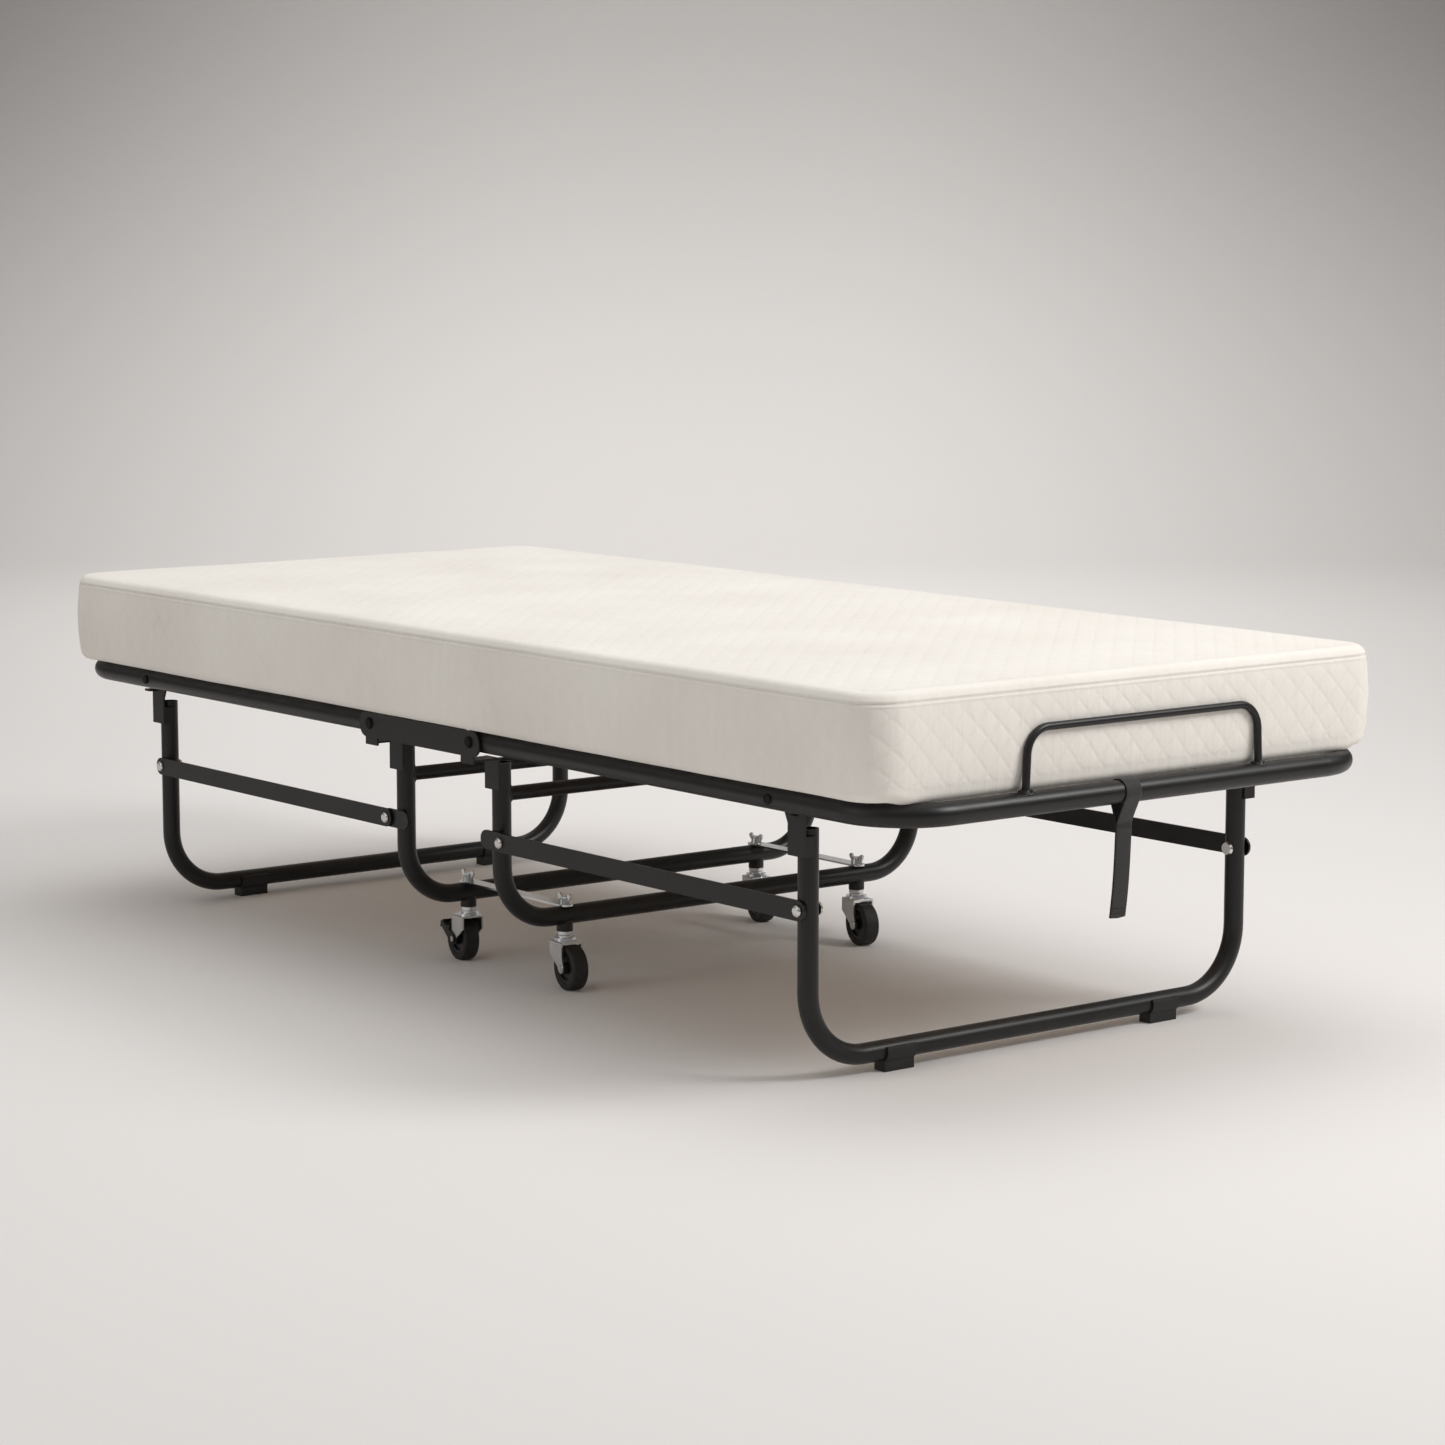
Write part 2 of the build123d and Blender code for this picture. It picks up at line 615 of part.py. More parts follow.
with BuildPart() as fork:
    for side in (-1, 1):
        with BuildSketch(facing_out(side * FORK_INNER_Y)):
            with BuildLine():
                Polyline(
                    (FORK_FRONT_X, fork_top),
                    (FORK_FRONT_X, FORK_UNDERSIDE - FORK_SHOULDER),
                    (CASTOR_TRAIL - FORK_EAR_RADIUS, WHEEL_RADIUS),
                    (CASTOR_TRAIL + FORK_EAR_RADIUS, WHEEL_RADIUS),
                    (FORK_BACK_X, FORK_UNDERSIDE - FORK_SHOULDER),
                    (FORK_BACK_X, fork_top),
                    close=True,
                )
            make_face()
            with Locations((CASTOR_TRAIL, WHEEL_RADIUS)):
                Circle(FORK_EAR_RADIUS)
        extrude(amount=side * FORK_PLATE)
    with Locations(((FORK_FRONT_X + FORK_BACK_X) / 2, 0, FORK_UNDERSIDE + FORK_PLATE / 2)):
        Box(FORK_BACK_X - FORK_FRONT_X, 2 * fork_outer_y, FORK_PLATE)
    fillet(fork.edges().filter_by(Axis.X).group_by(Axis.Z)[-1], FORK_BEND)
    with BuildSketch(Plane.XY.offset(fork_top)):
        Circle(RACE_RADIUS)
    extrude(amount=RACE_HEIGHT, taper=RACE_TAPER)
    with BuildSketch(Plane.XY.offset(fork_top + RACE_HEIGHT)):
        Circle(RACE_CAP_RADIUS)
    extrude(amount=RACE_CAP)
    with BuildSketch(Plane.XY):
        Circle(STEM_RADIUS + RUNNING_GAP)
    extrude(amount=SADDLE_BOTTOM, mode=Mode.SUBTRACT)
    add(
        side_to_side(CASTOR_TRAIL, WHEEL_RADIUS, AXLE_RADIUS, fork_outer_y),
        mode=Mode.SUBTRACT,
    )

with BuildPart() as axle:
    add(side_to_side(CASTOR_TRAIL, WHEEL_RADIUS, AXLE_RADIUS, fork_outer_y))
    for side in (-1, 1):
        head_plane = Plane(
            origin=(CASTOR_TRAIL, side * fork_outer_y, WHEEL_RADIUS), z_dir=(0, side, 0)
        )
        with BuildSketch(head_plane):
            Circle(AXLE_HEAD_RADIUS)
        extrude(amount=AXLE_HEAD, taper=AXLE_HEAD_TAPER)

with BuildPart() as tyre:
    with BuildSketch(Plane.YZ.offset(CASTOR_TRAIL)):
        with Locations((0, WHEEL_RADIUS + (HUB_RADIUS + WHEEL_RADIUS) / 2)):
            RectangleRounded(WHEEL_WIDTH, WHEEL_RADIUS - HUB_RADIUS, TYRE_ROUND)
    revolve(axis=axle_axis)

with BuildPart() as hub:
    bore_z = WHEEL_RADIUS + AXLE_RADIUS + RUNNING_GAP
    boss_z = WHEEL_RADIUS + HUB_BOSS_RADIUS
    web_z = WHEEL_RADIUS + HUB_WEB_RADIUS
    rim_z = WHEEL_RADIUS + HUB_RADIUS
    with BuildSketch(Plane.YZ.offset(CASTOR_TRAIL)):
        with BuildLine():
            Polyline(
                (-HUB_BOSS_HALF_WIDTH, bore_z),
                (-HUB_BOSS_HALF_WIDTH, boss_z),
                (-HUB_WEB_HALF_WIDTH, boss_z),
                (-HUB_WEB_HALF_WIDTH, web_z),
                (-HUB_HALF_WIDTH, web_z),
                (-HUB_HALF_WIDTH, rim_z),
                (HUB_HALF_WIDTH, rim_z),
                (HUB_HALF_WIDTH, web_z),
                (HUB_WEB_HALF_WIDTH, web_z),
                (HUB_WEB_HALF_WIDTH, boss_z),
                (HUB_BOSS_HALF_WIDTH, boss_z),
                (HUB_BOSS_HALF_WIDTH, bore_z),
                close=True,
            )
        make_face()
    revolve(axis=axle_axis)

for place_name, place in CASTORS.items():
    write(f"castor_fork_{place_name}", place * fork.part)
    write(f"castor_axle_{place_name}", place * axle.part)
    write(f"castor_tyre_{place_name}", place * tyre.part)
    write(f"castor_hub_{place_name}", place * hub.part)

# One castor has a foot brake: an arm on the axle end and a pedal over the tread.
BRAKE_ANGLE = 30
BRAKE_CLEARANCE = 5
ARM_THICKNESS = 2
ARM_GAP = 0.3
ARM_TIP_RADIUS = 4
PEDAL_LENGTH = 14
PEDAL_THICKNESS = 3
PEDAL_ROUND = 1.2
PEDAL_START_Y = -10
PEDAL_TILT = 20  # beyond the arm's own angle
arm_inner_y = fork_outer_y + ARM_GAP
brake_reach = WHEEL_RADIUS + BRAKE_CLEARANCE
pedal_x = CASTOR_TRAIL + brake_reach * cos(radians(BRAKE_ANGLE))
pedal_z = WHEEL_RADIUS + brake_reach * sin(radians(BRAKE_ANGLE))

with BuildPart() as brake_pedal:
    with BuildSketch(facing_out(-arm_inner_y)):
        with Locations((CASTOR_TRAIL, WHEEL_RADIUS)):
            Circle(FORK_EAR_RADIUS)
        with Locations((pedal_x, pedal_z)):
            Circle(ARM_TIP_RADIUS)
        make_hull()
        with Locations((CASTOR_TRAIL, WHEEL_RADIUS)):
            Circle(AXLE_HEAD_RADIUS + RUNNING_GAP, mode=Mode.SUBTRACT)
    extrude(amount=-ARM_THICKNESS)
    with BuildSketch(facing_out(-PEDAL_START_Y)):
        with Locations(Location((pedal_x, pedal_z), -BRAKE_ANGLE - PEDAL_TILT)):
            RectangleRounded(PEDAL_LENGTH, PEDAL_THICKNESS, PEDAL_ROUND)
    extrude(amount=-(arm_inner_y + ARM_THICKNESS - PEDAL_START_Y))
write("brake_pedal", CASTORS["head_right"] * brake_pedal.part)

# --- Mattress: two ends on the decks and a middle on the centre unit ---------------------

TAPER_LENGTH = 180  # towards the middle, where the pad's top is cut back for the fold
TAPER_DEPTH = 17
MIDDLE_LENGTH = 196
MIDDLE_THICKNESS = 82
mattress_top = MATTRESS_BOTTOM + MATTRESS_THICKNESS
end_start = DECK_PIVOT_X + FOLD_GAP

with BuildPart() as mattress_end:
    with BuildSketch(Plane(origin=(0, MATTRESS_WIDTH / 2, 0), x_dir=(1, 0, 0), z_dir=(0, -1, 0))):
        with BuildLine():
            Polyline(
                (end_start, MATTRESS_BOTTOM),
                (MATTRESS_LENGTH / 2, MATTRESS_BOTTOM),
                (MATTRESS_LENGTH / 2, mattress_top),
                (end_start + TAPER_LENGTH, mattress_top),
                (end_start, mattress_top - TAPER_DEPTH),
                close=True,
            )
        make_face()
    extrude(amount=MATTRESS_WIDTH)
    fillet(mattress_end.edges().filter_by(Axis.Z).sort_by(Axis.X)[-2:], MATTRESS_CORNER)
    fillet(mattress_end.faces().sort_by(Axis.X)[-1].edges().filter_by(Axis.Y), MATTRESS_EDGE)
write_both_ends("mattress_end", mattress_end.part)

with BuildPart() as mattress_middle:
    with Locations((0, 0, MATTRESS_BOTTOM + MIDDLE_THICKNESS / 2)):
        Box(MIDDLE_LENGTH, MATTRESS_WIDTH, MIDDLE_THICKNESS)
    fillet(mattress_middle.edges().filter_by(Axis.X), MATTRESS_EDGE)
write("mattress_middle", mattress_middle.part)

# --- Storage strap: webbing looped round the foot rail, its ends sewn together -----------

STRAP_WIDTH = 25
STRAP_THICKNESS = 1.6
STRAP_Y = -34
STRAP_BOTTOM = 192
STRAP_CLEARANCE = 0.5
STRAP_JOIN_DROP = 34  # the two layers meet this far below the rail's centre

with BuildPart() as strap:
    strap_section = Plane(
        origin=(RAIL_END_X, STRAP_Y + STRAP_WIDTH / 2, RAIL_HEIGHT),
        x_dir=(1, 0, 0),
        z_dir=(0, -1, 0),
    )
    strap_bore = RAIL_RADIUS + STRAP_CLEARANCE
    tail_drop = RAIL_HEIGHT - STRAP_BOTTOM
    with BuildSketch(strap_section):
        Circle(strap_bore + STRAP_THICKNESS)
        with Locations((0, -STRAP_JOIN_DROP)):
            Circle(STRAP_THICKNESS)
        make_hull()
        with Locations((0, -(STRAP_JOIN_DROP + tail_drop) / 2)):
            Rectangle(2 * STRAP_THICKNESS, tail_drop - STRAP_JOIN_DROP)
    extrude(amount=STRAP_WIDTH)
    with BuildSketch(strap_section):
        Circle(strap_bore)
        with Locations((0, -STRAP_JOIN_DROP + 3 * STRAP_THICKNESS)):
            Circle(STRAP_THICKNESS / 2)
        make_hull()
    extrude(amount=STRAP_WIDTH, mode=Mode.SUBTRACT)
write("storage_strap", strap.part)
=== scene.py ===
# %% [markdown]
# # A folding cot
# The cot is a foam mattress on two slatted decks that fold up about a centre unit on castors.
# Its steel frame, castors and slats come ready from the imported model, which is loaded first.
# What is made here is the soft goods, the small trims and the finish of every surface.

import json

import bpy
import numpy as np
from mathutils import Euler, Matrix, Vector


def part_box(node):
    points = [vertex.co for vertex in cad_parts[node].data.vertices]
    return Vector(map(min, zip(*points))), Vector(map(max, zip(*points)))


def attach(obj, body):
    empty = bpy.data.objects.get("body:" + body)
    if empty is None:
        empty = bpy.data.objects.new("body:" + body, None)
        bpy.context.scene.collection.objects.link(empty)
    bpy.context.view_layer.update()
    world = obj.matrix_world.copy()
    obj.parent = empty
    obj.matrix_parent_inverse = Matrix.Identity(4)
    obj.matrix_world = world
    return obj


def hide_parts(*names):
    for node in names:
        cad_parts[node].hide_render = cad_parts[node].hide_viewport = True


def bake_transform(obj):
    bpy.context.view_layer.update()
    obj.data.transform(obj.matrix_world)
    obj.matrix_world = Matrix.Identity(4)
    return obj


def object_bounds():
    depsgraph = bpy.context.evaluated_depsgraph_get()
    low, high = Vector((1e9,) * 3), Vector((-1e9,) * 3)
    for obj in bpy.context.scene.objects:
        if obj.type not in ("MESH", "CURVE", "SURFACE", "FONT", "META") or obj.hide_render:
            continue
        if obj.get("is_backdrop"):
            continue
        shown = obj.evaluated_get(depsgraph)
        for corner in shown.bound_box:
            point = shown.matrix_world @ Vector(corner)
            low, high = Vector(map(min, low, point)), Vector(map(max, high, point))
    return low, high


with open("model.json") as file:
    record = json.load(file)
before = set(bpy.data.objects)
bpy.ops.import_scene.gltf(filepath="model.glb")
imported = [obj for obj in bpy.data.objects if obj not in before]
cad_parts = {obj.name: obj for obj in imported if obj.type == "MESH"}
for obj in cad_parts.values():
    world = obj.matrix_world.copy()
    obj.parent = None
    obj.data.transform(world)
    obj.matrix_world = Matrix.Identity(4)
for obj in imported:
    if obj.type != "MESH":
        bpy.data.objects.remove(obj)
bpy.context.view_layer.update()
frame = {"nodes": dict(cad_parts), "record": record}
nodes = frame["nodes"]
MM = 0.001

# %% [markdown]
# ## Camera
# A long lens a little above the mattress, looking down the bed from the right of its foot end.
# The lens is long, so that the far leg is hardly smaller than the near one.

# %% Camera
CAMERA_PLACE = (4.0609, -3.0776, 1.0037)
CAMERA_PITCH = 7.604
CAMERA_TURN = 51.938
CAMERA_LENS = 92.19

camera = bpy.data.objects.new("camera", bpy.data.cameras.new("camera"))
bpy.context.scene.collection.objects.link(camera)
camera.location = CAMERA_PLACE
camera.rotation_euler = Euler(np.radians((90 - CAMERA_PITCH, 0, CAMERA_TURN)))
camera.data.lens = CAMERA_LENS
camera.data.sensor_width = 36
bpy.context.scene.camera = camera
print("camera lens", camera.data.lens, "mm")

# %% [markdown]
# ## Helpers
# A mesh here is a numpy array of points and an array of four-sided faces. One function puts both
# into Blender, one makes the faces of a grid, and one closes a sheet of points into a tube.

# %% Mesh helpers
def grid_faces(rows, columns, close_rows=False, close_columns=False):
    """Faces of a grid of points stored row by row: each face joins a point, the next one in its
    row, and the two beside them in the next row. A closed direction joins its last to its first."""
    row = np.arange(rows if close_rows else rows - 1)
    column = np.arange(columns if close_columns else columns - 1)
    r, c = np.meshgrid(row, column, indexing="ij")
    after_r, after_c = (r + 1) % rows, (c + 1) % columns
    corners = [r * columns + c, r * columns + after_c, after_r * columns + after_c, after_r * columns + c]
    return np.stack(corners, -1).reshape(-1, 4)


def add_mesh(name, points, faces, material, **followed):
    """Makes an object from points and four-sided faces. Each further array is kept as a vector
    attribute of that name, which patterns follow, so that they stay on when the surface bends."""
    points = np.asarray(points, np.float32)
    mesh = bpy.data.meshes.new(name)
    mesh.vertices.add(len(points))
    mesh.vertices.foreach_set("co", points.ravel())
    mesh.loops.add(faces.size)
    mesh.loops.foreach_set("vertex_index", faces.ravel().astype(np.int32))
    mesh.polygons.add(len(faces))
    mesh.polygons.foreach_set("loop_start", np.arange(0, faces.size, faces.shape[1], dtype=np.int32))
    for title, vectors in followed.items():
        attribute = mesh.attributes.new(title, "FLOAT_VECTOR", "POINT")
        attribute.data.foreach_set("vector", np.asarray(vectors, np.float32).ravel())
    mesh.update(calc_edges=True)
    mesh.validate()
    mesh.shade_smooth()
    mesh.materials.append(material)
    made = bpy.data.objects.new(name, mesh)
    bpy.context.scene.collection.objects.link(made)
    return made


def tube_along(path, radius, sides):
    """Points and faces of a tube: at each point of the path a ring of points stands square to the
    path's direction, and one more ring at each end is drawn in to close it."""
    path = np.asarray(path, float)
    along = np.gradient(path, axis=0)
    along /= np.linalg.norm(along, axis=1)[:, None]
    spare = np.where(np.abs(along[:, 2:3]) > 0.9, [[1.0, 0, 0]], [[0, 0, 1.0]])
    across = np.cross(along, spare)
    across /= np.linalg.norm(across, axis=1)[:, None]
    up = np.cross(across, along)
    angle = np.linspace(0, 2 * np.pi, sides, endpoint=False)
    ring = across[:, None] * np.cos(angle)[None, :, None] + up[:, None] * np.sin(angle)[None, :, None]
    points = path[:, None] + ring * radius
    first, last = path[:1, None] + ring[:1] * radius / 10, path[-1:, None] + ring[-1:] * radius / 10
    points = np.concatenate([first, points, last])
    faces = grid_faces(len(points), sides, close_columns=True)
    return points.reshape(-1, 3), faces[:, ::-1]


# %% [markdown]
# ## Materials
# Every finish is a network of nodes. One function adds a node with its settings, its values and
# its links, and one turns the hex colour of a paint chart into the linear light that shaders use.

# %% Node helpers
def paint(hex_code):
    """Linear RGBA of an sRGB hex colour: each channel is raised by the sRGB curve."""
    srgb = np.array([int(hex_code[i : i + 2], 16) for i in (0, 2, 4)]) / 255
    linear = np.where(srgb <= 0.04045, srgb / 12.92, ((srgb + 0.055) / 1.055) ** 2.4)
    return (*linear.tolist(), 1.0)


def put(tree, kind, settings=None, values=None, links=None, stops=()):
    """Adds one node of a kind, sets its own settings and its sockets' values, and links sockets.
    A colour ramp also takes its stops, each a place and a colour."""
    new = tree.nodes.new(kind)
    for name, value in (settings or {}).items():
        setattr(new, name, value)
    for socket, value in (values or {}).items():
        new.inputs[socket].default_value = value
    for socket, source in (links or {}).items():
        tree.links.new(source, new.inputs[socket])
    for _ in stops[2:]:
        new.color_ramp.elements.new(0.5)
    for index, (position, colour) in enumerate(stops):
        new.color_ramp.elements[index].position = position
        new.color_ramp.elements[index].color = colour
    return new


def new_material(name, **surface):
    """A material with one Principled shader, whose sockets take the given constants."""
    material = bpy.data.materials.new(name)
    material.use_nodes = True
    tree = material.node_tree
    shader = tree.nodes["Principled BSDF"]
    for socket, value in surface.items():
        shader.inputs[socket.replace("_", " ")].default_value = value
    return material, tree, shader


def speckle(size_mm):
    """Noise scale whose grains are about that many millimetres across, on coordinates in metres."""
    return 1000 / size_mm / 2


# %% [markdown]
# ### Satin black powder coat
# The tubes and plates are steel, sprayed with black polyester powder and baked. The melt leaves a
# fine orange peel, about a millimetre across, and a soft sheen. Handling dulls it in patches.

# %% Powder coat
POWDER_PEEL_MM = 1.3
POWDER_PATCH_MM = 45


def powder_coat():
    material, tree, shader = new_material("satin black powder coat", IOR=1.45)
    at = put(tree, "ShaderNodeTexCoord").outputs["Object"]
    peel = put(
        tree,
        "ShaderNodeTexNoise",
        values={"Scale": speckle(POWDER_PEEL_MM), "Detail": 2},
        links={"Vector": at},
    )
    patch = put(
        tree,
        "ShaderNodeTexNoise",
        values={"Scale": speckle(POWDER_PATCH_MM), "Detail": 4},
        links={"Vector": at},
    )
    colour = put(
        tree,
        "ShaderNodeValToRGB",
        links={"Fac": patch.outputs["Fac"]},
        stops=[(0.3, paint("0e0d0d")), (0.7, paint("141313"))],
    )
    rough = put(
        tree,
        "ShaderNodeMapRange",
        values={"From Min": 0.3, "From Max": 0.7, "To Min": 0.34, "To Max": 0.42},
        links={"Value": patch.outputs["Fac"]},
    )
    bump = put(
        tree,
        "ShaderNodeBump",
        values={"Strength": 0.25, "Distance": 0.1 * MM},
        links={"Height": peel.outputs["Fac"]},
    )
    tree.links.new(colour.outputs["Color"], shader.inputs["Base Color"])
    tree.links.new(rough.outputs["Result"], shader.inputs["Roughness"])
    tree.links.new(bump.outputs["Normal"], shader.inputs["Normal"])
    return material


# %% [markdown]
# ### Plated steel
# Rivets are nickel plated and tumbled bright. Castor forks, strips and wing nuts are zinc plated,
# which is greyer and cloudier, with the fine lines of the rolled sheet.

# %% Plated steel
def plated_steel(name, dark, light, rough_low, rough_high, cloud_mm, line_mm):
    material, tree, shader = new_material(name, Metallic=1.0)
    at = put(tree, "ShaderNodeTexCoord").outputs["Object"]
    cloud = put(
        tree, "ShaderNodeTexNoise", values={"Scale": speckle(cloud_mm), "Detail": 5}, links={"Vector": at}
    )
    stretched = put(tree, "ShaderNodeMapping", values={"Scale": (1, 1, 12)}, links={"Vector": at})
    lines = put(
        tree,
        "ShaderNodeTexNoise",
        values={"Scale": speckle(line_mm) / 12, "Detail": 3},
        links={"Vector": stretched.outputs["Vector"]},
    )
    colour = put(
        tree,
        "ShaderNodeValToRGB",
        links={"Fac": cloud.outputs["Fac"]},
        stops=[(0.35, paint(dark)), (0.65, paint(light))],
    )
    rough = put(
        tree,
        "ShaderNodeMapRange",
        values={"From Min": 0.3, "From Max": 0.7, "To Min": rough_low, "To Max": rough_high},
        links={"Value": cloud.outputs["Fac"]},
    )
    bump = put(
        tree,
        "ShaderNodeBump",
        values={"Strength": 0.2, "Distance": 0.1 * MM},
        links={"Height": lines.outputs["Fac"]},
    )
    tree.links.new(colour.outputs["Color"], shader.inputs["Base Color"])
    tree.links.new(rough.outputs["Result"], shader.inputs["Roughness"])
    tree.links.new(bump.outputs["Normal"], shader.inputs["Normal"])
    return material


# %% [markdown]
# ### Moulded black plastics and rubber
# Slat holders, saddles and foot pads are moulded polypropylene with a spark-eroded grain. Hubs are
# nylon, a little glossier. Tyres are carbon-black rubber, dull, with dust in the tread.

# %% Moulded plastics and rubber
DUST_MM = 14


def moulded(name, dark, light, rough, grain_mm, grain_depth, ior):
    material, tree, shader = new_material(name, IOR=ior, Roughness=rough)
    at = put(tree, "ShaderNodeTexCoord").outputs["Object"]
    grain = put(
        tree, "ShaderNodeTexNoise", values={"Scale": speckle(grain_mm), "Detail": 3}, links={"Vector": at}
    )
    dust = put(
        tree, "ShaderNodeTexNoise", values={"Scale": speckle(DUST_MM), "Detail": 6}, links={"Vector": at}
    )
    colour = put(
        tree,
        "ShaderNodeValToRGB",
        links={"Fac": dust.outputs["Fac"]},
        stops=[(0.4, paint(dark)), (0.75, paint(light))],
    )
    bump = put(
        tree,
        "ShaderNodeBump",
        values={"Strength": 0.4, "Distance": grain_depth},
        links={"Height": grain.outputs["Fac"]},
    )
    tree.links.new(colour.outputs["Color"], shader.inputs["Base Color"])
    tree.links.new(bump.outputs["Normal"], shader.inputs["Normal"])
    return material


# %% [markdown]
# ### Birch slats
# Sprung slats are laminated birch, bent and lacquered. The grain runs along the slat, across the
# bed, in bands two or three millimetres wide, with darker pores drawn out in the same direction.

# %% Birch
BAND_MM = 5
PORE_MM = 1.2


def lacquered_birch():
    material, tree, shader = new_material("lacquered birch", IOR=1.5, Roughness=0.42, Coat_Weight=0.25)
    at = put(tree, "ShaderNodeTexCoord").outputs["Object"]
    along = put(tree, "ShaderNodeMapping", values={"Scale": (1, 0.06, 1)}, links={"Vector": at})
    bands = put(
        tree,
        "ShaderNodeTexNoise",
        values={"Scale": speckle(BAND_MM), "Detail": 6, "Distortion": 0.6},
        links={"Vector": along.outputs["Vector"]},
    )
    pores = put(
        tree,
        "ShaderNodeTexNoise",
        values={"Scale": speckle(PORE_MM), "Detail": 2},
        links={"Vector": along.outputs["Vector"]},
    )
    colour = put(
        tree,
        "ShaderNodeValToRGB",
        links={"Fac": bands.outputs["Fac"]},
        stops=[(0.3, paint("b98f5f")), (0.5, paint("d2ac7a")), (0.7, paint("e0c193"))],
    )
    bump = put(
        tree,
        "ShaderNodeBump",
        values={"Strength": 0.2, "Distance": 0.1 * MM},
        links={"Height": pores.outputs["Fac"]},
    )
    tree.links.new(colour.outputs["Color"], shader.inputs["Base Color"])
    tree.links.new(bump.outputs["Normal"], shader.inputs["Normal"])
    return material


# %% [markdown]
# ### Mattress ticking
# The cover is a cream knitted ticking, quilted to a thin wadding in diamonds. Its threads are under
# a millimetre, so they are drawn as a soft grain. The pattern reads the place each point had on
# the flat pad, so it bends with the pad.

# %% Ticking
QUILT_PITCH = 25 * MM  # between stitch lines, square to them
STITCH_LENGTH = 3.5 * MM
STITCH_SHARE = 0.36  # of a stitch's length that shows, each way from its middle
STITCH_HALF = 0.7 * MM  # half the width of the sewing thread
GROOVE_HALF = 4 * MM  # how far the wadding is drawn down beside a line
THREAD_MM = 1.1  # drawn a little coarser than the real knit, to show
SLUB_MM = 6  # thicker stretches of yarn
TONE_MM = 120  # slow drift of the cream


def from_nearest(tree, value, size):
    """Distance from the nearest whole number, counted in pieces of the given size: the value less
    its rounding, without its sign, times the size."""
    whole = put(tree, "ShaderNodeMath", {"operation": "ROUND"}, links={0: value})
    off = put(tree, "ShaderNodeMath", {"operation": "SUBTRACT"}, links={0: value, 1: whole.outputs[0]})
    apart = put(tree, "ShaderNodeMath", {"operation": "ABSOLUTE"}, links={0: off.outputs[0]})
    return put(tree, "ShaderNodeMath", {"operation": "MULTIPLY"}, {1: size}, {0: apart.outputs[0]}).outputs[0]


